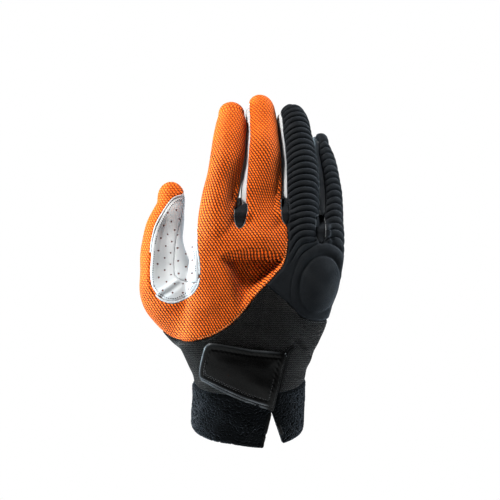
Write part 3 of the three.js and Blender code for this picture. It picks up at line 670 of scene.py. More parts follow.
def face_edges(faces):
    """The directed edges of triangles."""
    return np.vstack([faces[:, [0, 1]], faces[:, [1, 2]], faces[:, [2, 0]]])


class Sheet:
    """A triangle mesh with a table of named numbers for each point."""

    def __init__(self, names, table, faces):
        self.names = names
        self.table = table
        self.faces = faces

    def __getitem__(self, name):
        return self.table[:, self.names.index(name)]

    @property
    def points(self):
        return self.table[:, :3]

    @property
    def normals(self):
        return unit(self.table[:, 3:6])

    def tidy(self):
        """The same sheet without points that no face uses."""
        used, faces = np.unique(self.faces, return_inverse=True)
        return Sheet(self.names, self.table[used], faces.reshape(-1, 3))

    def clip(self, field):
        """The part where a field is above zero, cut along its zero line."""
        values = np.where(np.abs(field) < SNAP, SNAP, field)
        inside = values > 0
        count = inside[self.faces].sum(axis=1)
        mixed = self.faces[(count == 1) | (count == 2)]
        flags = inside[mixed]
        alone = flags.sum(axis=1) == 1
        odd = np.where(alone[:, None], flags, ~flags).argmax(axis=1)
        turned = mixed[np.arange(len(mixed))[:, None], (odd[:, None] + np.arange(3)) % 3]
        a, b, c = turned.T
        pairs = np.sort(np.vstack([np.stack([a, b], 1), np.stack([a, c], 1)]), axis=1)
        edges, index = np.unique(pairs, axis=0, return_inverse=True)
        index = index.ravel()
        first, second = values[edges[:, 0]], values[edges[:, 1]]
        share = (first / (first - second))[:, None]
        cut = self.table[edges[:, 0]] * (1 - share) + self.table[edges[:, 1]] * share
        ab = len(self.table) + index[:len(a)]
        ac = len(self.table) + index[len(a):]
        corner = np.stack([a, ab, ac], 1)[alone]
        rest = ~alone
        near = np.stack([ab, b, c], 1)[rest]
        far = np.stack([ab, c, ac], 1)[rest]
        faces = np.vstack([self.faces[count == 3], corner, near, far])
        return Sheet(self.names, np.vstack([self.table, cut]), faces).tidy()

    def largest(self):
        """The largest connected part."""
        label = np.arange(len(self.table))
        while True:
            low = label[self.faces].min(axis=1)
            fresh = label.copy()
            np.minimum.at(fresh, self.faces.ravel(), np.repeat(low, 3))
            fresh = fresh[fresh]
            if (fresh == label).all():
                break
            label = fresh
        ids, counts = np.unique(label[self.faces[:, 0]], return_counts=True)
        keep = ids[counts.argmax()]
        return Sheet(self.names, self.table, self.faces[label[self.faces[:, 0]] == keep]).tidy()

    def edge_list(self):
        """Every edge once, with the number of faces on it."""
        pairs = face_edges(self.faces)
        return pairs, *np.unique(np.sort(pairs, axis=1), axis=0, return_inverse=True, return_counts=True)

    def border(self):
        """The directed edges with a face on one side only."""
        pairs, _, index, counts = self.edge_list()
        return pairs[counts[index.ravel()] == 1]

    def halved(self):
        """The sheet with every edge cut in half."""
        _, edges, index, _ = self.edge_list()
        middle = (self.table[edges[:, 0]] + self.table[edges[:, 1]]) / 2
        count = len(self.faces)
        ab, bc, ca = (len(self.table) + index.ravel()[i * count:(i + 1) * count] for i in range(3))
        a, b, c = self.faces.T
        faces = np.vstack([
            np.stack([a, ab, ca], 1), np.stack([ab, b, bc], 1), np.stack([ca, bc, c], 1),
            np.stack([ab, bc, ca], 1),
        ])
        return Sheet(self.names, np.vstack([self.table, middle]), faces)

    def from_border(self, most=8):
        """Each point's distance from the sheet's border."""
        ends = self.points[self.border()]
        places = np.vstack([ends[:, 0], ends.mean(axis=1)])
        return np.minimum(nearest_distance(places, self.points), most)

    def area(self):
        """Area in square millimetres."""
        a, b, c = (self.points[self.faces[:, i]] for i in range(3))
        return np.linalg.norm(np.cross(b - a, c - a), axis=1).sum() / 2

    def loops(self):
        """Border loops as lists of points, the longest first."""
        following = dict(self.border().tolist())
        loops = []
        while following:
            start, point = next(iter(following.items()))
            loop = [start]
            del following[start]
            while point in following:
                loop.append(point)
                point = following.pop(point)
            loops.append(loop)
        return sorted(loops, key=len, reverse=True)


def border_length(sheet):
    """Length of the whole border in millimetres."""
    a, b = (sheet.points[sheet.border()[:, i]] for i in range(2))
    return np.linalg.norm(b - a, axis=1).sum()


def face_normals(points, faces):
    """Normals at the points of a mesh."""
    a, b, c = (points[faces[:, i]] for i in range(3))
    normal = np.cross(b - a, c - a)
    total = np.zeros_like(points)
    for i in range(3):
        np.add.at(total, faces[:, i], normal)
    return unit(total)


def neighbour_means(start, values, count):
    """The mean of the values at the far ends of each point's edges."""
    total = [np.bincount(start, weights=column, minlength=count) for column in values.T]
    return np.stack(total, axis=1) / np.bincount(start, minlength=count)[:, None]


def relax(points, faces, passes):
    """Points moved towards their neighbours and back, which takes out steps and keeps the size."""
    start, end = face_edges(faces).T
    for _ in range(passes):
        for share in RELAX_SHARES:
            points = points + share * (neighbour_means(start, points[end], len(points)) - points)
    return points


def soften(points, faces, places):
    """Creases taken out where cloth bridges them, by places with a middle, a reach and passes."""
    start, end = face_edges(faces).T
    for middle, reach, passes in places:
        away = np.linalg.norm((points - middle) / reach, axis=1)
        chosen = np.flatnonzero(away < 1)
        share = ((1 - away[chosen] ** 2) ** 2)[:, None] * SOFTEN_SHARE
        order = np.full(len(points), -1)
        order[chosen] = np.arange(len(chosen))
        own = order[start] >= 0
        own_start, own_end = order[start[own]], end[own]
        for _ in range(passes):
            mean = neighbour_means(own_start, points[own_end], len(chosen))
            points[chosen] += share * (mean - points[chosen])
    return points


def box_mesh(left, right, front, back, low, high):
    """A web between two fingers: a block whose top rises from front to back."""
    floor = low - WEB_DEPTH
    points = [
        (left, front, floor), (right, front, floor), (right, back, floor), (left, back, floor),
        (left, front, low), (right, front, low), (right, back, high), (left, back, high),
    ]
    faces = [(3, 2, 1, 0), (4, 5, 6, 7), (0, 1, 5, 4), (1, 2, 6, 5), (2, 3, 7, 6), (3, 0, 4, 7)]
    return np.array(points, float), faces


def remeshed(parts, voxel):
    """One skin round all the parts, as triangles."""
    form = linked_object("form", *joined(parts))
    remesh = form.modifiers.new("Skin", "REMESH")
    remesh.mode = "VOXEL"
    remesh.voxel_size = voxel
    bpy.context.view_layer.update()
    made = form.evaluated_get(bpy.context.evaluated_depsgraph_get()).to_mesh()
    made.calc_loop_triangles()
    skin = np.empty(len(made.vertices) * 3, np.float32)
    made.vertices.foreach_get("co", skin)
    index = np.empty(len(made.loop_triangles) * 3, np.int32)
    made.loop_triangles.foreach_get("vertices", index)
    remove_with_mesh(form)
    return skin.reshape(-1, 3).astype(float), index.reshape(-1, 3).astype(np.int64)


def blended(places, values):
    """Values of several tubes mixed by how near each tube's skin is."""
    near = np.stack([places[name]["distance"] for name in values])
    weight = np.exp(-(near - near.min(axis=0)) / BLEND_REACH)
    weight /= weight.sum(axis=0)
    return (weight * np.stack(list(values.values()))).sum(axis=0)


def back_field(places, height):
    """Millimetres inside the back of the glove."""
    values = {}
    for name, seams in SEAMS.items():
        values[name] = between_seams(places[name], height, seams)
        if name != "hand":
            side, reach = TIP_STRIP.get(name, (0, 0))
            late = reach * bell(places[name]["angle"] - side, TIP_STRIP_WIDTH)
            past_cap = places[name]["length"] - TUBE_SET[name].cap_start
            values[name] = np.maximum(values[name], past_cap + TIP_OVERLAP - late)
    return blended(places, values)


def strip_field(places, points, gusset):
    """Millimetres inside the leather strip that lines two neighbouring fingers."""
    height = points[:, 2]
    left, right = gusset["fingers"]
    web_left, web_right, _, web_back, low, high = gusset["web"]
    inner, outer = STRIP_ANGLES
    inner -= STRIP_UNDER
    web = np.minimum.reduce([
        points[:, 0] - web_left - WEB_SIDE, web_right - WEB_SIDE - points[:, 0],
        height - low + WEB_BELOW, high + WEB_ABOVE - height, web_back - WEB_BACK - points[:, 1],
    ])
    values = {name: np.full(len(points), -FAR) for name in TUBES}
    for name, seams in ((left, (inner, outer)), (right, (-outer, -inner))):
        values[name] = np.minimum(between_seams(places[name], height, seams), height - low - 1)
    return np.maximum(blended(places, values), np.where(height < high + WEB_ABOVE, web, -FAR))


def plane_field(points, plane):
    """Height above a plane that leans from front to back."""
    slope, y, z = plane
    return points[:, 2] - z - slope * (points[:, 1] - y)


def smooth_outline(line, outside=()):
    """A line made smooth, closed by plain points."""
    return np.vstack([catmull(line, LINE_STEPS), np.array(outside, float).reshape(-1, 2)])


TUBE_SET = make_tubes()
CACHE = {}


def glove_form():
    """The whole skin of the glove with all the fields that its panels are cut by."""
    if "form" in CACHE:
        return CACHE["form"]
    sizes = bpy.context.scene.glove_sizes
    parts = [tube.mesh(HAND_SIDES if name == "hand" else FINGER_SIDES) for name, tube in TUBE_SET.items()]
    parts += [box_mesh(*gusset["web"]) for gusset in GUSSETS.values()]
    points, faces = remeshed(parts, sizes.voxel)
    points = soften(relax(points, faces, FORM_PASSES), faces, CREASES)
    normals = face_normals(points, faces)
    if normals[points[:, 2].argmax(), 2] < 0:
        faces = faces[:, ::-1]
        normals = -normals
    places = {name: tube.locate(points) for name, tube in TUBE_SET.items()}
    height = points[:, 2]
    away, side = line_distance(points, catmull(ORANGE_SEAM, LINE_STEPS))
    finger_side = blended(places, {
        name: np.full(len(points), FAR if name in ("index", "middle") else -FAR) for name in FINGERS
    })
    on_finger = smoothstep(height, *FINGER_ROOTS)
    padded_away, padded_side = line_distance(points, catmull(PADDED_SEAM, LINE_STEPS))
    slit_away, _ = line_distance(points, catmull(WRIST_SLIT, LINE_STEPS))
    behind = points[:, 1] - FRONT_ONLY
    thumb_near = np.where(places["thumb"]["distance"] < THUMB_REACH, 0, -FAR)
    drop, drop_from, drop_to = CUFF_DROP
    fields = {
        "back": back_field(places, height),
        "orange": away * side * (1 - on_finger) + finger_side * on_finger,
        "padded": padded_away * padded_side,
        "window": inside_outline(points, smooth_outline(THUMB_WINDOW, WINDOW_OUTSIDE)),
        "inner": np.minimum(
            inside_outline(points, smooth_outline(THUMB_INNER_SEAM, INNER_OUTSIDE)),
            between_seams(places["thumb"], height, SEAMS["thumb"]) + thumb_near,
        ),
        "cuff": -plane_field(points, CUFF_SEAM),
        "mouth": plane_field(points, CUFF_MOUTH) + drop * smoothstep(points[:, 0], drop_from, drop_to),
        "notch": np.maximum(-inside_outline(points, CUFF_NOTCH), behind),
        "slit": np.maximum(slit_away - SLIT_HALF, behind),
    }
    fields["weave_x"], fields["weave_z"] = weave_map(points, places)
    for name, gusset in GUSSETS.items():
        fields["gusset_" + name] = np.minimum(
            inside_outline(points, smooth_outline(gusset["outline"] + gusset["outline"][:1])),
            gusset["depth"] - points[:, 1],
        )
        fields["strip_" + name] = strip_field(places, points, gusset)
    names = ["x", "y", "z", "nx", "ny", "nz", *fields]
    CACHE["form"] = Sheet(names, np.column_stack([points, normals, *fields.values()]), faces)
    return CACHE["form"]


def cut_panel(*tests):
    """The panel of the form where every test is above zero, pulled back by the seam's gap."""
    gap = bpy.context.scene.glove_sizes.seam_gap
    sheet = glove_form()
    for test in tests:
        sheet = sheet.clip(test(sheet) - gap)
    return sheet.largest()


def within(name):
    """A test that keeps what lies inside a field."""
    return lambda sheet: sheet[name]


def outside(name):
    """A test that keeps what lies outside a field."""
    return lambda sheet: -sheet[name]


def outside_all(kind):
    """A test that keeps what lies outside all the gussets or all the strips."""
    return lambda sheet: -np.maximum.reduce([sheet[kind + name] for name in GUSSETS])


def on_back(sheet):
    """A test that keeps the back without the thumb's window."""
    return np.minimum(sheet["back"], -sheet["window"])


def on_leather(sheet):
    """A test that keeps the palm's side and the thumb's window."""
    return np.maximum(-sheet["back"], sheet["window"])


ABOVE_CUFF = (outside("cuff"), within("slit"))
OUTSIDE_GUSSETS = outside_all("gusset_")


# Finished meshes

def boundary_walls(border, offset):
    """Faces that join a border to the same border further in."""
    a, b = border.T
    return np.vstack([np.stack([b, a, a + offset], 1), np.stack([b, a + offset, b + offset], 1)])


def flat_map(sheet, even=False):
    """The sheet laid flat in millimetres, by an unwrap that keeps its angles, or its sizes if it is even."""
    made = linked_object("flat", sheet.points, sheet.faces.tolist())
    made.data.uv_layers.new(name="Flat")
    edit_whole(made)
    if even:
        bpy.ops.uv.unwrap(method="MINIMUM_STRETCH", fill_holes=False, margin=0, iterations=EVEN_STEPS)
    else:
        bpy.ops.uv.unwrap(method="CONFORMAL", fill_holes=False, margin=0)
    bpy.ops.object.mode_set(mode="OBJECT")
    corners = np.empty(len(made.data.loops) * 2, np.float32)
    made.data.uv_layers["Flat"].data.foreach_get("uv", corners)
    flat = np.zeros((len(sheet.table), 2))
    flat[corner_points(made.data)] = corners.reshape(-1, 2)
    remove_with_mesh(made)
    a, b, c = (flat[sheet.faces[:, i]] for i in range(3))
    turned = (b[:, 0] - a[:, 0]) * (c[:, 1] - a[:, 1]) - (b[:, 1] - a[:, 1]) * (c[:, 0] - a[:, 0])
    flat_area = abs(turned.sum()) / 2
    flat = (flat - flat.mean(axis=0)) * math.sqrt(sheet.area() / flat_area)
    place = sheet.points[:, [0, 2]] - sheet.points[:, [0, 2]].mean(axis=0)
    both = flat.T @ place
    turn = math.atan2(both[0, 1] - both[1, 0], both[0, 0] + both[1, 1])
    spin = np.array([[math.cos(turn), math.sin(turn)], [-math.sin(turn), math.cos(turn)]])
    return flat @ spin


def new_object(name, points, faces, look, node=None, flat=None, attributes=None):
    """A piece made of points in millimetres, smooth shaded, riding on the glove. Look: material and slot;
    the slot is not used.
    """
    material, slot = look
    made = linked_object(name, points * MM, faces)
    mesh = made.data
    mesh.update()
    if flat is not None:
        layer = mesh.uv_layers.new(name="Flat")
        layer.data.foreach_set("uv", flat[corner_points(mesh)].astype(np.float32).ravel())
    for label, values in (attributes or {}).items():
        layer = mesh.attributes.new(label, "FLOAT", "POINT")
        layer.data.foreach_set("value", values.astype(np.float32))
    mesh.shade_smooth()
    mesh.materials.append(make_materials()[material])
    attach(made, "root")
    if node:
        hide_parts(node)
    return made


def cloth_layer(name, sheet, heights, look, node=None, flat=None, attributes=None):
    """A layer of cloth between two heights over a sheet, closed at its edges and kept for the trim."""
    count = len(sheet.table)
    outer, inner = (sheet.points + sheet.normals * height[:, None] for height in heights)
    faces = np.vstack([sheet.faces, sheet.faces[:, ::-1] + count, boundary_walls(sheet.border(), count)])
    both = {label: np.concatenate([values, values * 0]) for label, values in (attributes or {}).items()}
    if flat is not None:
        flat = np.vstack([flat, flat])
    CACHE[name] = Sheet(sheet.names, np.column_stack([outer, sheet.table[:, 3:]]), sheet.faces)
    return new_object(name, np.vstack([outer, inner]), faces.tolist(), look, node, flat, both)


def finish_panel(name, sheet, relief, look, node, wall=None, attributes=None, flat=None):
    """A panel with its relief outside, a plain lining inside and closed edges between them."""
    wall = wall or bpy.context.scene.glove_sizes.wall
    if flat is None:
        flat = np.column_stack([sheet["weave_x"], sheet["weave_z"]])
    heights = (relief + FORM_INSET, np.minimum(relief, 0) + FORM_INSET - wall)
    return cloth_layer(name, sheet, heights, look, node, flat, attributes), flat


def declare_cloth(sheet):
    """Works out the area that a panel was cut to, and does nothing with it."""
    area = sheet.area() * MM * MM


def declare_strip(sheet):
    """Works out the area of a narrow strip with tapered ends, and its length as half its border, and does
    nothing with them.
    """
    length = border_length(sheet) / 2 * MM
    area = sheet.area() * MM * MM


def seam_relief(sheet, reach=0.9):
    """How far a panel sinks along its seams."""
    return -bpy.context.scene.glove_sizes.seam_dip * bell(sheet.from_border(), reach)


def iso_paths(sheet, field, value, least=4):
    """Lines on a finished panel where a field has a value, as evenly spaced points and normals."""
    cut = sheet.clip(sheet[field] - value)
    on_line = np.abs(cut[field] - value) < SNAP + LINE_SLACK
    paths = []
    for loop in cut.loops():
        loop = np.array(loop)
        flags = on_line[loop]
        if flags.all():
            runs = [np.append(loop, loop[0])]
        else:
            first = int(np.flatnonzero(~flags)[0])
            loop, flags = np.roll(loop, -first), np.roll(flags, -first)
            ends = np.flatnonzero(np.diff(np.concatenate([[0], flags.astype(int), [0]])))
            runs = [loop[a:b] for a, b in zip(ends[::2], ends[1::2])]
        for run in runs:
            if len(run) < 4:
                continue
            points, normals = even_path(cut.points[run], cut.normals[run], PATH_STEP)
            if len(points) * PATH_STEP > least:
                paths.append((points, normals))
    return paths


def even_path(points, normals, step):
    """A path with its points evenly spaced and its small kinks taken out."""
    length = np.concatenate([[0], np.cumsum(np.linalg.norm(np.diff(points, axis=0), axis=1))])
    keep = np.concatenate([[True], np.diff(length) > 1e-6])
    places = np.arange(0, length[-1], step)
    both = np.hstack([points, normals])[keep]
    both = np.column_stack([np.interp(places, length[keep], both[:, i]) for i in range(6)])
    for _ in range(4):
        if len(both) > 4:
            both[1:-1] = (both[:-2] + 2 * both[1:-1] + both[2:]) / 4
    return both[:, :3], unit(both[:, 3:])


def sweep(points, normals, wide, high, lift, sides=8):
    """A rounded band along a path with tapered ends: a list of one part."""
    side = unit(np.cross(unit(np.gradient(points, axis=0)), normals))
    angle = np.linspace(0, 2 * math.pi, sides, endpoint=False)[None, :, None]
    from_start = np.arange(len(points))
    taper = np.minimum(1, np.minimum(from_start, from_start[::-1]) / 3 + 0.35)[:, None, None]
    ring = side[:, None] * np.cos(angle) * wide + normals[:, None] * np.sin(angle) * high
    made = points[:, None] + normals[:, None] * lift + ring * taper
    return [(made.reshape(-1, 3), ring_faces(len(points), sides))]


def stitch_row(points, normals, pitch, length, wide, high, slant=0.0):
    """A row of small rounded stitches along a path."""
    if len(points) < 3:
        return []
    step = max(int(round(pitch / PATH_STEP)), 1)
    along = unit(np.gradient(points, axis=0))
    angle = np.linspace(0, 2 * math.pi, STITCH_SIDES, endpoint=False)[:, None]
    parts = []
    for i in range(step, len(points) - step, step):
        direction = along[i] * math.cos(slant) + np.cross(along[i], normals[i]) * math.sin(slant)
        line = points[i] + STITCH_PLACES[:, None] * direction * length / 2
        ring = np.cross(direction, normals[i]) * np.cos(angle) * wide + normals[i] * np.sin(angle) * high
        made = line[:, None] + ring[None] * STITCH_SIZES[:, None, None]
        parts.append((made.reshape(-1, 3), ring_faces(len(STITCH_PLACES), STITCH_SIDES)))
    return parts


def waves(points, size, height, seed):
    """Soft random waves in space, the same on each run."""
    random = np.random.default_rng(seed)
    total = np.zeros(len(points))
    for _ in range(WAVE_COUNT):
        direction = unit(random.normal(size=3)) * random.uniform(0.7, 1.5) * 2 * math.pi / size
        total += np.sin(points @ direction + random.uniform(0, 2 * math.pi))
    return height * total / math.sqrt(WAVE_COUNT)


def pad_radius(points):
    """Radius round the knuckle pad, 1 at the edge of its dome, and the angle round it."""
    lean = math.radians(PAD["lean"])
    dx, dz = points[:, 0] - PAD["x"], points[:, 2] - PAD["z"]
    across = (dx * math.cos(lean) - dz * math.sin(lean)) / PAD["across"]
    along = (dx * math.sin(lean) + dz * math.cos(lean)) / PAD["along"]
    return np.hypot(across, along), np.degrees(np.arctan2(along, across))


def dent_relief(sheet):
    """The dent below the knuckles, steep along its upper edge, and the knuckles and finger joints."""
    points = sheet.points
    away, side = line_distance(points, catmull(DENT["side"], LINE_STEPS))
    below, above = line_distance(points, catmull(DENT["top"], LINE_STEPS))
    sunk = smoothstep(away * side, *DENT["side_edge"]) * smoothstep(-below * above, *DENT["top_edge"])
    relief = -DENT["depth"] * sunk * (1 - smoothstep(below, DENT["near"], DENT["far"]))
    for x, z, wide, tall, high in KNUCKLES:
        relief += high * bell(points[:, 0] - x, wide) * bell(points[:, 2] - z, tall)
    return relief * smoothstep(-sheet.normals[:, 1], 0, 0.4)


# Materials

def socket(node, name, value):
    """Sets an input of a node to a value, or links it."""
    target = node.inputs[name]
    if isinstance(value, bpy.types.NodeSocket):
        node.id_data.links.new(value, target)
    else:
        target.default_value = value


def add_node(tree, kind, inputs=None, **settings):
    """A node with its settings and inputs."""
    node = tree.nodes.new(kind)
    for name, value in settings.items():
        setattr(node, name, value)
    for name, value in (inputs or {}).items():
        socket(node, name, value)
    return node


def maths(tree, operation, *values):
    """The output of a Math node."""
    return add_node(tree, "ShaderNodeMath", dict(enumerate(values)), operation=operation).outputs[0]


def ramp(tree, value, low, high, first=0.0, last=1.0):
    """A value mapped softly from one range to another."""
    return add_node(tree, "ShaderNodeMapRange", {
        "Value": value, "From Min": low, "From Max": high, "To Min": first, "To Max": last,
    }, interpolation_type="SMOOTHSTEP").outputs["Result"]


def noise(tree, vector, scale, detail, roughness=0.5):
    """The value of a noise texture."""
    return add_node(tree, "ShaderNodeTexNoise", {
        "Vector": vector, "Scale": scale, "Detail": detail, "Roughness": roughness,
    }).outputs[0]


def new_group(name, inputs, outputs):
    """A node group over a vector, with numbers as inputs and outputs, and the sockets inside it."""
    tree = bpy.data.node_groups.new(name, "ShaderNodeTree")
    tree.interface.new_socket("Vector", in_out="INPUT", socket_type="NodeSocketVector")
    for label, value in inputs.items():
        tree.interface.new_socket(label, in_out="INPUT", socket_type="NodeSocketFloat").default_value = value
    for label in outputs:
        tree.interface.new_socket(label, in_out="OUTPUT", socket_type="NodeSocketFloat")
    return tree, tree.nodes.new("NodeGroupInput").outputs, tree.nodes.new("NodeGroupOutput").inputs


def from_middle(tree, cells, size):
    """Distance from the middle of a cell, for a value that counts cells."""
    return maths(tree, "MULTIPLY", maths(tree, "SUBTRACT", maths(tree, "FRACT", cells), 0.5), size)


def dots_group():
    """Rows of small staggered dots over a flat map in millimetres: knots, holes, or the yarn round them."""
    tree, given, result = new_group("Staggered dots", {
        "Across": 2.1, "Row": 1.55, "Radius": 0.5, "Stretch": 1.3, "Slant": 0.0,
    }, ("Dot", "Yarn"))
    parts = add_node(tree, "ShaderNodeSeparateXYZ", {0: given["Vector"]})
    rows = maths(tree, "DIVIDE", parts.outputs["Y"], given["Row"])
    odd = maths(tree, "FLOORED_MODULO", maths(tree, "FLOOR", rows), 2.0)
    columns = maths(tree, "DIVIDE", parts.outputs["X"], given["Across"])
    columns = maths(tree, "ADD", columns, maths(tree, "MULTIPLY", odd, 0.5))
    dx = from_middle(tree, columns, given["Across"])
    dy = from_middle(tree, rows, given["Row"])
    dy = maths(tree, "ADD", dy, maths(tree, "MULTIPLY", dx, given["Slant"]))
    dy = maths(tree, "MULTIPLY", dy, given["Stretch"])
    squares = maths(tree, "ADD", maths(tree, "MULTIPLY", dx, dx), maths(tree, "MULTIPLY", dy, dy))
    share = maths(tree, "DIVIDE", maths(tree, "SQRT", squares), given["Radius"])
    tree.links.new(ramp(tree, share, 1.25, 0.65), result["Dot"])
    tree.links.new(ramp(tree, share, 0.9, 1.9), result["Yarn"])


def grain_group():
    """Fine irregular grain in space, for leather and coated cloth."""
    tree, given, result = new_group("Fine grain", {"Scale": 900.0}, ("Grain", "Patches"))
    cells = add_node(tree, "ShaderNodeTexVoronoi", {"Vector": given["Vector"], "Scale": given["Scale"]},
                     feature="DISTANCE_TO_EDGE")
    edges = ramp(tree, cells.outputs["Distance"], 0.0, 0.25, 0.0, 0.6)
    fine = maths(tree, "MULTIPLY", noise(tree, given["Vector"], given["Scale"], 3.0), 0.4)
    tree.links.new(maths(tree, "ADD", edges, fine), result["Grain"])
    tree.links.new(ramp(tree, noise(tree, given["Vector"], 60.0, 2.0), 0.35, 0.65), result["Patches"])


def speckle_group():
    """Fibre speckle in space, from fine to coarse."""
    tree, given, result = new_group("Fibre speckle", {"Scale": 2200.0}, ("Fine", "Coarse"))
    fine = noise(tree, given["Vector"], given["Scale"], 3.0, 0.7)
    coarse = noise(tree, given["Vector"], maths(tree, "MULTIPLY", given["Scale"], 0.06), 3.0)
    tree.links.new(ramp(tree, fine, 0.3, 0.7), result["Fine"])
    tree.links.new(ramp(tree, coarse, 0.3, 0.7), result["Coarse"])


def knit_group():
    """Columns of small knitted loops over a flat map in millimetres."""
    tree, given, result = new_group("Knit loops", {"Pitch": 1.5}, ("Loop",))
    parts = add_node(tree, "ShaderNodeSeparateXYZ", {0: given["Vector"]})
    column = maths(tree, "DIVIDE", parts.outputs["X"], given["Pitch"])
    row = maths(tree, "DIVIDE", parts.outputs["Y"], maths(tree, "MULTIPLY", given["Pitch"], 0.8))
    away = maths(tree, "ABSOLUTE", maths(tree, "SUBTRACT", maths(tree, "FRACT", column), 0.5))
    slant = maths(tree, "ADD", row, maths(tree, "MULTIPLY", away, 1.2))
    bow = maths(tree, "SINE", maths(tree, "MULTIPLY", slant, 2 * math.pi))
    ridge = maths(tree, "SINE", maths(tree, "MULTIPLY", away, 2 * math.pi))
    loop = maths(tree, "MULTIPLY", ramp(tree, bow, -1.0, 1.0), maths(tree, "ABSOLUTE", ridge))
    tree.links.new(loop, result["Loop"])


def group_node(tree, name, **inputs):
    """One of the shared effects placed in a material."""
    node = tree.nodes.new("ShaderNodeGroup")
    node.node_tree = bpy.data.node_groups[name]
    for label, value in inputs.items():
        socket(node, label.replace("_", " "), value)
    return node.outputs


def mix_colour(tree, share, first, second):
    """Two colours mixed by a share."""
    node = add_node(tree, "ShaderNodeMix", data_type="RGBA")
    socket(node, "Factor", share)
    for name, value in (("A", first), ("B", second)):
        target = next(item for item in node.inputs if item.name == name and item.type == "RGBA")
        if isinstance(value, bpy.types.NodeSocket):
            tree.links.new(value, target)
        else:
            target.default_value = (*value[:3], 1)
    return next(item for item in node.outputs if item.type == "RGBA")


def scaled(colour, share):
    """A colour made lighter or darker."""
    return tuple(channel * share for channel in colour[:3])


class Finish:
    """A material with one Principled shader, and its texture coordinates."""

    def __init__(self, name, **constants):
        self.material = bpy.data.materials.new(name)
        self.material.use_nodes = True
        self.tree = self.material.node_tree
        self.shader = self.tree.nodes["Principled BSDF"]
        for label, value in constants.items():
            self.shader.inputs[label.replace("_", " ")].default_value = value
        self.space = add_node(self.tree, "ShaderNodeTexCoord").outputs["Object"]
        self.flat = add_node(self.tree, "ShaderNodeUVMap", uv_map="Flat").outputs[0]

    def colour(self, value):
        """Links the base colour."""
        socket(self.shader, "Base Color", value)

    def rough(self, value):
        """Links the roughness."""
        socket(self.shader, "Roughness", value)

    def bump(self, *layers):
        """Bump layers of height, distance in metres and strength, one on the other."""
        inputs = {}
        for height, distance, strength in layers:
            inputs.update({"Height": height, "Distance": distance, "Strength": strength})
            inputs["Normal"] = add_node(self.tree, "ShaderNodeBump", inputs).outputs["Normal"]
        socket(self.shader, "Normal", inputs["Normal"])

    def attribute(self, name):
        """The value of an attribute of the piece."""
        return add_node(self.tree, "ShaderNodeAttribute", attribute_name=name).outputs["Fac"]


def orange_mesh(colours):
    """Spacer mesh of slanted knots in staggered rows, dark between them for its holes and for painted shade
    round the knots, and calmer, with paler gaps, where it is stretched.
    """
    made = Finish("Orange spacer mesh", Roughness=0.7, Specular_IOR_Level=0.12, Sheen_Weight=0.1,
                  Sheen_Roughness=0.4)
    tree = made.tree
    knots = group_node(tree, "Staggered dots", Vector=made.flat, Across=2.1, Row=1.55, Radius=0.78,
                       Stretch=1.15, Slant=0.45)["Dot"]
    speckle = group_node(tree, "Fibre speckle", Vector=made.space, Scale=1500.0)
    knot = mix_colour(tree, speckle["Coarse"], scaled(colours.orange, 0.95), scaled(colours.orange, 1.08))
    calm = made.attribute("calm")
    # The dark gaps are the mesh's holes and painted shade round the knots; the painted shade is paler over
    # the thumb and the fingertips.
    gap = mix_colour(tree, calm, scaled(colours.orange, 0.13), scaled(colours.orange, 0.36))
    made.colour(mix_colour(tree, knots, gap, knot))
    made.bump((knots, 0.0006, 1.0), (speckle["Fine"], 0.00012, 0.5))
    return made.material


def white_leather(colours, name="White leather", perforated=False):
    """Soft thin leather with a fine grain, with or without rows of punched holes."""
    made = Finish(name, Roughness=0.6, Specular_IOR_Level=0.25, Sheen_Weight=0.1)
    tree = made.tree
    grain = group_node(tree, "Fine grain", Vector=made.space, Scale=1100.0)
    base = mix_colour(tree, grain["Patches"], scaled(colours.leather, 0.95), colours.leather)
    layers = [(grain["Grain"], 0.0001, 0.35)]
    if perforated:
        holes = group_node(tree, "Staggered dots", Vector=made.flat, Across=9.0, Row=4.2, Radius=0.6,
                           Stretch=1.0)["Dot"]
        share = maths(tree, "MULTIPLY", holes, made.attribute("punched"))
        base = mix_colour(tree, share, base, (0.09, 0.03, 0.025))
        layers.append((maths(tree, "SUBTRACT", 1.0, share), 0.0005, 0.8))
    made.colour(base)
    made.rough(ramp(tree, grain["Grain"], 0.0, 1.0, 0.72, 0.6))
    made.bump(*layers)
    return made.material


def dark_finish(name, scale, sheen=0.08, shine=0.2):
    """A dull finish for nearly black cloth, and its fine fibre speckle."""
    made = Finish(name, Roughness=0.72, Specular_IOR_Level=shine, Sheen_Weight=sheen, Sheen_Roughness=0.35,
                  Sheen_Tint=(0.75, 0.85, 1, 1))
    speckle = group_node(made.tree, "Fibre speckle", Vector=made.space, Scale=scale)
    made.rough(ramp(made.tree, speckle["Coarse"], 0.0, 1.0, 0.78, 0.92))
    return made, speckle["Fine"]


def dark_cloth(name, colour, scale, bump, *finish):
    """Nearly black cloth with fibre speckle."""
    made, speckle = dark_finish(name, scale, *finish)
    made.colour(mix_colour(made.tree, speckle, scaled(colour, 0.7), scaled(colour, 1.5)))
    made.bump((speckle, bump, 0.6))
    return made.material


def black_knit(colours):
    """Fine stretch knit."""
    made = Finish("Black knit", Specular_IOR_Level=0.14, Sheen_Weight=0.26, Sheen_Roughness=0.3)
    tree = made.tree
    loops = group_node(tree, "Knit loops", Vector=made.flat, Pitch=1.5)["Loop"]
    speckle = group_node(tree, "Fibre speckle", Vector=made.space, Scale=2200.0)["Fine"]
    made.colour(mix_colour(tree, loops, scaled(colours.knit, 0.3), scaled(colours.knit, 1.7)))
    made.rough(ramp(tree, loops, 0.3, 1.0, 0.9, 0.42))
    made.bump((loops, 0.001, 1.0), (speckle, 0.0001, 0.5))
    return made.material


def gusset_mesh(colours):
    """Open stretch mesh between the fingers."""
    made, _ = dark_finish("Black open mesh", 2600.0)
    tree = made.tree
    holes = group_node(tree, "Staggered dots", Vector=made.flat, Across=1.3, Row=0.9, Radius=0.32,
                       Stretch=1.3)
    made.colour(mix_colour(tree, holes["Dot"], scaled(colours.padded, 1.3), scaled(colours.padded, 0.15)))
    made.bump((holes["Yarn"], 0.0003, 0.9))
    return made.material


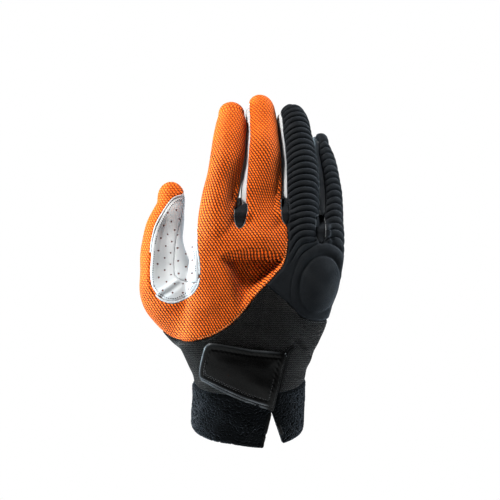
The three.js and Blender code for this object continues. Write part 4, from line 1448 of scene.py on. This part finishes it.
def strap_leather(colours):
    """Smooth coated leather, a little paler along its edges, where a highlight is painted."""
    made = Finish("Strap leather", Roughness=0.3, Specular_IOR_Level=0.12)
    tree = made.tree
    grain = group_node(tree, "Fine grain", Vector=made.space, Scale=1300.0)
    patches = ramp(tree, grain["Patches"], 0.0, 1.0, 0.5, 1.0)
    # A painted highlight, broken up in patches, pales the colour along the strap's rolled free edge.
    painted_edge_highlight = maths(tree, "MULTIPLY", made.attribute("edge"), patches)
    base = mix_colour(tree, grain["Patches"], scaled(colours.strap, 0.8), scaled(colours.strap, 1.3))
    made.colour(mix_colour(tree, painted_edge_highlight, base, (0.1, 0.11, 0.12)))
    made.rough(ramp(tree, grain["Grain"], 0.0, 1.0, 0.36, 0.24))
    made.bump((grain["Grain"], 0.00006, 0.3))
    return made.material


def thread(name, colour):
    """Sewing thread."""
    made = Finish(name, Roughness=0.55, Sheen_Weight=0.2)
    tree = made.tree
    speckle = group_node(tree, "Fibre speckle", Vector=made.space, Scale=2600.0)
    made.colour(mix_colour(tree, speckle["Fine"], scaled(colour, 0.8), colour))
    made.bump((speckle["Fine"], 0.00006, 0.5))
    return made.material


def make_materials():
    """All materials of the glove, by a short name."""
    if "materials" in CACHE:
        return CACHE["materials"]
    for build in (dots_group, grain_group, speckle_group, knit_group):
        build()
    colours = bpy.context.scene.glove_colours
    CACHE["materials"] = {
        "orange": orange_mesh(colours),
        "leather": white_leather(colours),
        "perforated": white_leather(colours, "Perforated leather", True),
        "padded": dark_cloth("Padded fabric", colours.padded, 1900.0, 0.00018, 0.17),
        "knit": black_knit(colours),
        "gusset": gusset_mesh(colours),
        "terry": dark_cloth("Terry loops", colours.terry, 1200.0, 0.0005, 0.25, 0.04),
        "strap": strap_leather(colours),
        "dark_thread": thread("Black thread", (0.03, 0.03, 0.034)),
        "grey_thread": thread("Grey thread", (0.12, 0.13, 0.14)),
        "binding": dark_cloth("Binding band", colours.knit, 2400.0, 0.0001),
        "orange_thread": thread("Orange thread", (0.9, 0.36, 0.12)),
    }
    return CACHE["materials"]


# Operators, one for each piece or group of like pieces

class GLOVE_OT_mesh_back(bpy.types.Operator):
    """Orange mesh over thumb, index, middle finger and the upper back of the hand"""

    bl_idname = "glove.mesh_back"
    bl_label = "Mesh back"

    def execute(self, context):
        sheet = cut_panel(*ABOVE_CUFF, on_back, within("orange"), OUTSIDE_GUSSETS)
        points = sheet.points
        dent = dent_relief(sheet) * smoothstep(sheet.from_border(), 0.4, 5)
        relief = seam_relief(sheet) + dent + waves(points, 22, 0.22, SEED)
        # Where the painted shade between the mesh's knots is paler: over the thumb and the fingertips.
        on_thumb = smoothstep(-points[:, 0], 36, 44) * smoothstep(points[:, 2], 84, 96)
        calm = np.maximum(on_thumb, smoothstep(points[:, 2], 168, 200))
        made, flat = finish_panel("mesh_back", sheet, relief, ("orange", "orange_mesh"), "orange_mesh_back",
                                  attributes={"calm": calm})
        declare_cloth(sheet)
        return {"FINISHED"}


def rib_relief(sheet, sizes):
    """Ribs round the fingers and the knuckle pad, 0 in the valleys and 1 on top, and the points' places."""
    points = sheet.points
    places = {name: TUBE_SET[name].locate(points) for name in ("hand", "ring", "little")}
    radius, pad_angle = pad_radius(points)
    pad_mean = (PAD["across"] + PAD["along"]) / 2
    pitches = {"ring": sizes.ring_pitch, "little": sizes.little_pitch}
    phases = {"hand": (radius - PAD_START) * pad_mean / PAD_PITCH}
    for name, (peak, join) in RIBS.items():
        place = places[name]
        droop = ((place["angle"] - peak) / 70) ** 2
        own = place["length"] / pitches[name] + droop
        index = np.linalg.norm(points - join, axis=1).argmin()
        phases[name] = own - own[index] + phases["hand"][index]
    phase = blended(places, phases)
    share = phase - np.floor(phase)
    rib = (1 - np.abs(2 * share - 1) ** 2.4) ** 0.6
    return rib, radius, pad_angle, places


class GLOVE_OT_padded_back(bpy.types.Operator):
    """Padded ribs over ring and little finger, and the pad over the knuckle"""

    bl_idname = "glove.padded_back"
    bl_label = "Ribbed back"

    def execute(self, context):
        sizes = context.scene.glove_sizes
        sheet = cut_panel(*ABOVE_CUFF, within("back"), outside("orange"), within("padded"), OUTSIDE_GUSSETS)
        sheet = sheet.halved()
        points = sheet.points
        rib, radius, pad_angle, places = rib_relief(sheet, sizes)
        from_edge = sheet.from_border()
        little_top = smoothstep(points[:, 2], 183, 188) * (places["little"]["distance"] < 2)
        off_pad = smoothstep(radius, 1.42, 1.52)
        fade = smoothstep(points[:, 2] - 24 * smoothstep(-points[:, 0], -44, -32), 78, 90)
        share = off_pad * fade * smoothstep(from_edge, 0.2, 2.5) * (1 - little_top)
        relief = (rib - 1) * sizes.rib_height * share
        strong = 0.3 + 0.7 * bell((pad_angle - 50 + 180) % 360 - 180, 70)
        strong *= smoothstep(-sheet.normals[:, 1], 0.05, 0.5)
        dome = sizes.pad_height * np.maximum(1 - (radius / PAD_DOME) ** 2, 0) ** 1.1
        rings = sum(high * bell(radius - place, wide) for place, wide, high in PAD_RINGS)
        relief += dome + rings * strong
        relief += -0.9 * bell(from_edge, 1.0) + waves(points, 14, 0.12, SEED + 1)
        made, _ = finish_panel("ribbed_back_padded", sheet, relief, ("padded", "padded_fabric"),
                               "ribbed_back", wall=1.6)
        return {"FINISHED"}


class GLOVE_OT_knit_back(bpy.types.Operator):
    """Black knit between the mesh and the cuff"""

    bl_idname = "glove.knit_back"
    bl_label = "Knit lower back"

    def execute(self, context):
        sheet = cut_panel(*ABOVE_CUFF, within("back"), outside("orange"), outside("padded"))
        points = sheet.points
        pucker, _ = line_distance(points, PUCKER)
        relief = seam_relief(sheet) + waves(points, 16, 0.3, SEED + 2) - 0.9 * bell(pucker, 2.0)
        made, flat = finish_panel("knit_back", sheet, relief, ("knit", "black_knit"), "knit_lower_back")
        declare_cloth(sheet)
        return {"FINISHED"}


class GLOVE_OT_leather(bpy.types.Operator):
    """Leather palm and the perforated panel on the inner side of the thumb"""

    bl_idname = "glove.leather"
    bl_label = "Leather palm"

    def execute(self, context):
        palm = cut_panel(*ABOVE_CUFF, on_leather, OUTSIDE_GUSSETS, outside_all("strip_"), outside("inner"))
        inner = cut_panel(*ABOVE_CUFF, on_leather, OUTSIDE_GUSSETS, within("inner"))
        pieces = [
            ("palm", palm, "white_leather", "leather_palm"),
            ("thumb_inner", inner, "perforated_leather", "thumb_inner_panel"),
        ]
        for name, sheet, slot, node in pieces:
            points = sheet.points
            height = points[:, 2]
            window = inside_outline(points, smooth_outline(THUMB_WINDOW, WINDOW_OUTSIDE))
            front = points[:, 1] < LEATHER_FRONT
            fold, _ = line_distance(points, THUMB_FOLD)
            valley, _ = line_distance(points, THUMB_VALLEY)
            hollow = -THUMB_HOLLOW["deep"] * bell(points[:, 0] - THUMB_HOLLOW["x"], THUMB_HOLLOW["wide"])
            hollow *= smoothstep(height, *THUMB_HOLLOW["low"]) * front
            hollow *= smoothstep(window, 0, 5) * (1 - smoothstep(height, *THUMB_HOLLOW["high"]))
            relief = 0.5 * seam_relief(sheet, 0.7) + waves(points, 30, 0.2, SEED + 3) + hollow
            relief += (0.6 * bell(fold, 1.6) - 0.6 * bell(valley, 1.4)) * front
            punched = front * smoothstep(window, 1.2, 2.0)
            even = name == "thumb_inner"
            flat = flat_map(sheet, even)
            made, _ = finish_panel(name, sheet, relief, ("perforated", slot), node,
                                   attributes={"punched": punched}, flat=flat if even else None)
            declare_cloth(sheet)
        return {"FINISHED"}


class GLOVE_OT_side_strips(bpy.types.Operator):
    """White leather strips between the fingers"""

    bl_idname = "glove.side_strips"
    bl_label = "Side strips"

    def execute(self, context):
        for name in GUSSETS:
            sheet = cut_panel(*ABOVE_CUFF, on_leather, OUTSIDE_GUSSETS, within("strip_" + name))
            relief = seam_relief(sheet, 0.7) + waves(sheet.points, 18, 0.15, SEED + 4)
            relief += 0.7 * smoothstep(sheet.from_border(), 0.5, 3)
            made, _ = finish_panel("strip_" + name, sheet, relief, ("leather", "white_leather"),
                                   "side_strip_" + name)
            declare_strip(sheet)
        return {"FINISHED"}


class GLOVE_OT_gussets(bpy.types.Operator):
    """Black mesh gussets in the crotches"""

    bl_idname = "glove.gussets"
    bl_label = "Gussets"

    def execute(self, context):
        for name in GUSSETS:
            sheet = cut_panel(*ABOVE_CUFF, within("gusset_" + name))
            relief = -0.3 - 0.3 * bell(sheet.from_border(), 0.6)
            flat = flat_map(sheet)
            made, _ = finish_panel("gusset_" + name + "_mesh", sheet, relief, ("gusset", "black_mesh"),
                                   "gusset_" + name, flat=flat)
            area = sheet.area() * MM * MM
        return {"FINISHED"}


class GLOVE_OT_cuff(bpy.types.Operator):
    """Terry cuff with its slit"""

    bl_idname = "glove.cuff"
    bl_label = "Terry cuff"

    def execute(self, context):
        sheet = cut_panel(within("cuff"), within("mouth"), within("notch"), within("slit")).halved()
        points = sheet.points
        random = np.random.default_rng(SEED)
        chosen = points[random.permutation(len(points))[:LOOP_COUNT]]
        away = nearest_distance(chosen + random.normal(size=(LOOP_COUNT, 3)) * LOOP_STRAY, points)
        loops = np.sqrt(np.maximum(1 - (away / LOOP_RADIUS) ** 2, 0)) * context.scene.glove_sizes.loop_height
        relief = loops - 0.7 * bell(sheet.from_border(), 0.8) + waves(points, 20, 0.35, SEED + 5)
        flat = flat_map(sheet)
        made, _ = finish_panel("cuff", sheet, relief, ("terry", "terry"), "terry_cuff", wall=2.6, flat=flat)
        declare_cloth(sheet)
        return {"FINISHED"}


def strap_sheet(outline):
    """A flat layer with the strap's outline, laid on the glove's back."""
    (left, right), (low, high), step = STRAP_NET
    xs = np.arange(left, right, step)
    zs = np.arange(low, high, step)
    grid = np.array([(x + (j % 2) * step / 2, 0, z) for j, z in enumerate(zs) for x in xs])
    wide = len(xs)
    faces = []
    for j in range(len(zs) - 1):
        for a in range(j * wide, (j + 1) * wide - 1):
            b, c, d = a + 1, a + wide + 1, a + wide
            faces += [(a, b, c), (a, c, d)] if j % 2 else [(a, b, d), (b, c, d)]
    sheet = Sheet(["x", "y", "z", "nx", "ny", "nz", "edge"], np.column_stack([
        grid, np.zeros((len(grid), 3)), inside_outline(grid, outline),
    ]), np.array(faces))
    sheet = sheet.clip(sheet["edge"]).largest()
    form = glove_form()
    below = BVHTree.FromPolygons((form.points + form.normals * FORM_INSET).tolist(), form.faces.tolist())
    back = Vector((0, 1, 0))
    hits = [below.ray_cast(Vector((x, IN_FRONT, z)), back)[0] for x, _, z in sheet.points]
    depth = np.array([hit.y if hit is not None else np.nan for hit in hits])
    sheet.table[:, 1] = np.where(np.isnan(depth), np.nanmax(depth), depth)
    sheet.table[:, :3] = relax(sheet.points, sheet.faces, STRAP_PASSES)
    sheet.table[:, 3:6] = face_normals(sheet.points, sheet.faces)
    return sheet


def free_edge(sheet):
    """1 along the strap's rounded end and lower edge, less along its top, and 0 where it is sewn down."""
    sewn, _ = line_distance(sheet.points, [STRAP_OUTLINE[0], STRAP_OUTLINE[-1]])
    top, _ = line_distance(sheet.points, STRAP_OUTLINE[:3])
    return smoothstep(sewn, 2, 7) * (0.35 + 0.65 * smoothstep(top, 2, 7))


def strap_layer(name, sheet, relief, floor, node=None):
    """One layer of the strap, closed underneath."""
    # Where the strap's material paints a highlight: along its rolled free edge.
    painted_edge_highlight = bell(np.maximum(sheet["edge"], 0) - 0.7, 0.8) * free_edge(sheet)
    heights = (relief, np.full(len(relief), floor))
    made = cloth_layer(name, sheet, heights, ("strap", "strap_leather"), node, attributes={"edge": painted_edge_highlight})
    area = sheet.area() * MM * MM


class GLOVE_OT_strap(bpy.types.Operator):
    """Strap over the back of the wrist, with the layer that it closes on"""

    bl_idname = "glove.strap"
    bl_label = "Strap"

    def execute(self, context):
        outline = np.vstack([catmull(STRAP_OUTLINE[1:-1], 3), STRAP_OUTLINE[-1:], STRAP_OUTLINE[:1]])
        top = strap_sheet(outline)
        edge = np.maximum(top["edge"], 0)
        left = smoothstep(-top["x"], -20, 22)
        ripple = np.sin(top["x"] * 2.4 + top["z"] * 1.3)
        stitched = -0.4 * bell(edge - 4, 0.6) + 0.16 * bell(edge - 4, 1.4) * ripple
        roll = (0.3 + 0.3 * left) * bell(edge - 1.2, 1.0) * free_edge(top)
        puff = 0.5 * smoothstep(edge, 4.5, 12)
        relief = 2.3 * np.sqrt(np.clip(edge / 1.3, 0.03, 1)) + roll + stitched + puff
        relief += waves(top.points, 15, 0.16, SEED + 6)
        base = strap_sheet(outline + BASE_SHIFT)
        base_edge = np.maximum(base["edge"], 0)
        strap_layer("strap_base", base, 0.3 + 0.75 * np.sqrt(np.clip(base_edge / 0.8, 0.03, 1)), 0.1)
        strap_layer("strap", top, relief, 1.1, "strap_tab")
        return {"FINISHED"}


# Trim: its name, its material and slot, its shape, and its lines. A line has its panel, the field and the
# value that it follows, its least length, and the sizes of the shape.
TRIM = (
    ("window_edging", ("leather", "white_leather"), sweep, [
        ("mesh_back", "window", -0.55, 20, (0.7, 0.5, 0.25)),
    ]),
    ("window_stitches", ("dark_thread", "perforated_leather"), stitch_row, [
        ("palm", "window", 1.9, 6, (1.6, 0.9, 0.34, 0.14)),
        ("thumb_inner", "window", 1.9, 6, (1.6, 0.9, 0.34, 0.14)),
    ]),
    ("mesh_border_stitches", ("orange_thread", "orange_mesh"), stitch_row, [
        ("mesh_back", "orange", 1.0, 20, (1.5, 0.9, 0.32, 0.3, 0.9)),
    ]),
    ("gusset_piping", ("grey_thread", "padded_fabric"), sweep, [
        ("mesh_back", "gusset_index_middle", -0.4, 4, (0.28, 0.3, 0.1, 6)),
        ("mesh_back", "gusset_middle_ring", -0.4, 4, (0.28, 0.3, 0.1, 6)),
        ("ribbed_back_padded", "gusset_ring_little", -0.4, 4, (0.28, 0.3, 0.1, 6)),
    ]),
    ("pad_border_stitches", ("grey_thread", "padded_fabric"), stitch_row, [
        ("knit_back", "padded", -0.9, 10, (2.0, 1.1, 0.18, 0.2)),
    ]),
    ("strap_stitches", ("dark_thread", "strap_leather"), stitch_row, [
        ("strap", "edge", 3.4, 30, (2.0, 1.4, 0.2, 0.2)),
        ("strap", "edge", 4.3, 30, (2.0, 1.4, 0.2, 0.2)),
    ]),
    ("slit_bindings", ("binding", "strap_leather"), sweep, [
        ("knit_back", "slit", 0.5, 8, (0.9, 0.55, 0.2)),
        ("cuff", "notch", 1.0, 8, (1.1, 0.8, 0.3)),
    ]),
    ("cuff_stitches", ("dark_thread", "terry"), stitch_row, [
        ("cuff", "cuff", 1.3, 20, (2.5, 1.5, 0.2, 0.3)),
    ]),
)


def shown(name, points, normals):
    """Which points of a path get trim: two rows of stitches run along a part of their seam only."""
    if name == "window_stitches":
        return (points[:, 1] < FRONT_ONLY) & (normals[:, 1] < WINDOW_FACING)
    if name == "pad_border_stitches":
        return points[:, 0] > SEAM_SEEN_FROM
    return np.full(len(points), True)


class GLOVE_OT_trim(bpy.types.Operator):
    """Turned edges, bindings and rows of stitches"""

    bl_idname = "glove.trim"
    bl_label = "Edges and stitches"

    def execute(self, context):
        for name, look, shape, lines in TRIM:
            parts = []
            for panel, field, value, least, sizes in lines:
                for points, normals in iso_paths(CACHE[panel], field, value, least):
                    seen = shown(name, points, normals)
                    parts += shape(points[seen], normals[seen], *sizes)
            if not parts:
                raise RuntimeError(name + " found no edge to follow")
            edit_whole(new_object(name, *joined(parts), look))
            bpy.ops.mesh.normals_make_consistent(inside=False)
            bpy.ops.object.mode_set(mode="OBJECT")
        return {"FINISHED"}


class GLOVE_OT_stage(bpy.types.Operator):
    """Floor, lights and camera of a plain studio"""

    bl_idname = "glove.stage"
    bl_label = "Studio"

    def execute(self, context):
        bpy.ops.object.select_all(action="DESELECT")
        bpy.ops.mesh.primitive_circle_add(vertices=96, radius=0.5, fill_type="NGON", location=(0, 0, -0.14))
        floor = context.object
        floor.name = "floor"
        bpy.ops.object.transform_apply(location=True, rotation=True, scale=True)
        paint = bpy.data.materials.new("Pale floor")
        paint.use_nodes = True
        shader = paint.node_tree.nodes["Principled BSDF"]
        socket(shader, "Base Color", (0.85, 0.85, 0.85, 1))
        socket(shader, "Roughness", 0.9)
        floor.data.materials.append(paint)
        world = bpy.data.worlds.new("Studio")
        world.use_nodes = True
        context.scene.world = world
        tree = world.node_tree
        tree.nodes.clear()
        path = tree.nodes.new("ShaderNodeLightPath")
        soft = add_node(tree, "ShaderNodeBackground", {"Color": (0.85, 0.9, 1, 1), "Strength": 0.045})
        seen = add_node(tree, "ShaderNodeBackground", {"Color": (1, 1, 1, 1), "Strength": 1.0})
        mixed = tree.nodes.new("ShaderNodeMixShader")
        tree.links.new(path.outputs["Is Camera Ray"], mixed.inputs[0])
        tree.links.new(soft.outputs[0], mixed.inputs[1])
        tree.links.new(seen.outputs[0], mixed.inputs[2])
        tree.links.new(mixed.outputs[0], tree.nodes.new("ShaderNodeOutputWorld").inputs[0])
        lamps = [
            ("key", (-0.5, -0.4, 1.18), 0.2, 38, (1, 0.97, 0.93)),
            ("side", (-1.0, 0.12, 0.15), 0.35, 27, (0.78, 0.92, 1)),
            ("rim", (0.95, 0.25, 0.3), 0.35, 17, (0.85, 0.94, 1)),
            ("front", (-1.1, -1.5, 0.8), 0.6, 0.6, (1, 1, 1)),
            ("back", (0.2, 1.5, 0.7), 0.6, 6, (1, 1, 1)),
        ]
        target = Vector((0, 0, 0.11))
        for name, place, size, power, colour in lamps:
            lamp = bpy.data.lights.new(name, "AREA")
            lamp.size = size
            lamp.energy = power
            lamp.color = colour
            made = bpy.data.objects.new(name, lamp)
            made.location = place
            made.rotation_euler = (target - Vector(place)).to_track_quat("-Z", "Y").to_euler()
            context.collection.objects.link(made)
        camera = bpy.data.cameras.new("camera")
        distance = 2.5
        view_height = 0.325
        camera.sensor_width = 36
        camera.lens = camera.sensor_width * distance / view_height
        camera.clip_end = 20
        made = bpy.data.objects.new("camera", camera)
        made.location = (0.975 * MM, -distance, 113.75 * MM)
        made.rotation_euler = (math.pi / 2, 0, 0)
        context.collection.objects.link(made)
        context.scene.camera = made
        context.scene.view_settings.view_transform = "Standard"
        context.scene.view_settings.gamma = 0.85
        return {"FINISHED"}


OPERATORS = (
    GLOVE_OT_mesh_back, GLOVE_OT_padded_back, GLOVE_OT_knit_back, GLOVE_OT_leather, GLOVE_OT_side_strips,
    GLOVE_OT_gussets, GLOVE_OT_cuff, GLOVE_OT_strap, GLOVE_OT_trim, GLOVE_OT_stage,
)


class GLOVE_PT_panel(bpy.types.Panel):
    """The glove's operators and sizes in the sidebar"""

    bl_idname = "GLOVE_PT_panel"
    bl_label = "Racquetball glove"
    bl_space_type = "VIEW_3D"
    bl_region_type = "UI"
    bl_category = "Glove"

    def draw(self, context):
        for name in GloveSizes.__annotations__:
            self.layout.prop(context.scene.glove_sizes, name)
        for name in GloveColours.__annotations__:
            self.layout.prop(context.scene.glove_colours, name)
        for operator in OPERATORS:
            self.layout.operator(operator.bl_idname)


CLASSES = (GloveSizes, GloveColours, *OPERATORS, GLOVE_PT_panel)


def register():
    """Adds the classes and the settings to Blender."""
    for item in CLASSES:
        bpy.utils.register_class(item)
    bpy.types.Scene.glove_sizes = bpy.props.PointerProperty(type=GloveSizes)
    bpy.types.Scene.glove_colours = bpy.props.PointerProperty(type=GloveColours)


def unregister():
    """Takes them out again."""
    del bpy.types.Scene.glove_colours
    del bpy.types.Scene.glove_sizes
    for item in reversed(CLASSES):
        bpy.utils.unregister_class(item)


def main():
    """Makes the glove and its studio."""
    register()
    bpy.ops.object.select_all(action="DESELECT")
    for operator in OPERATORS:
        family, name = operator.bl_idname.split(".")
        getattr(getattr(bpy.ops, family), name)()


if __name__ == "__main__":
    main()
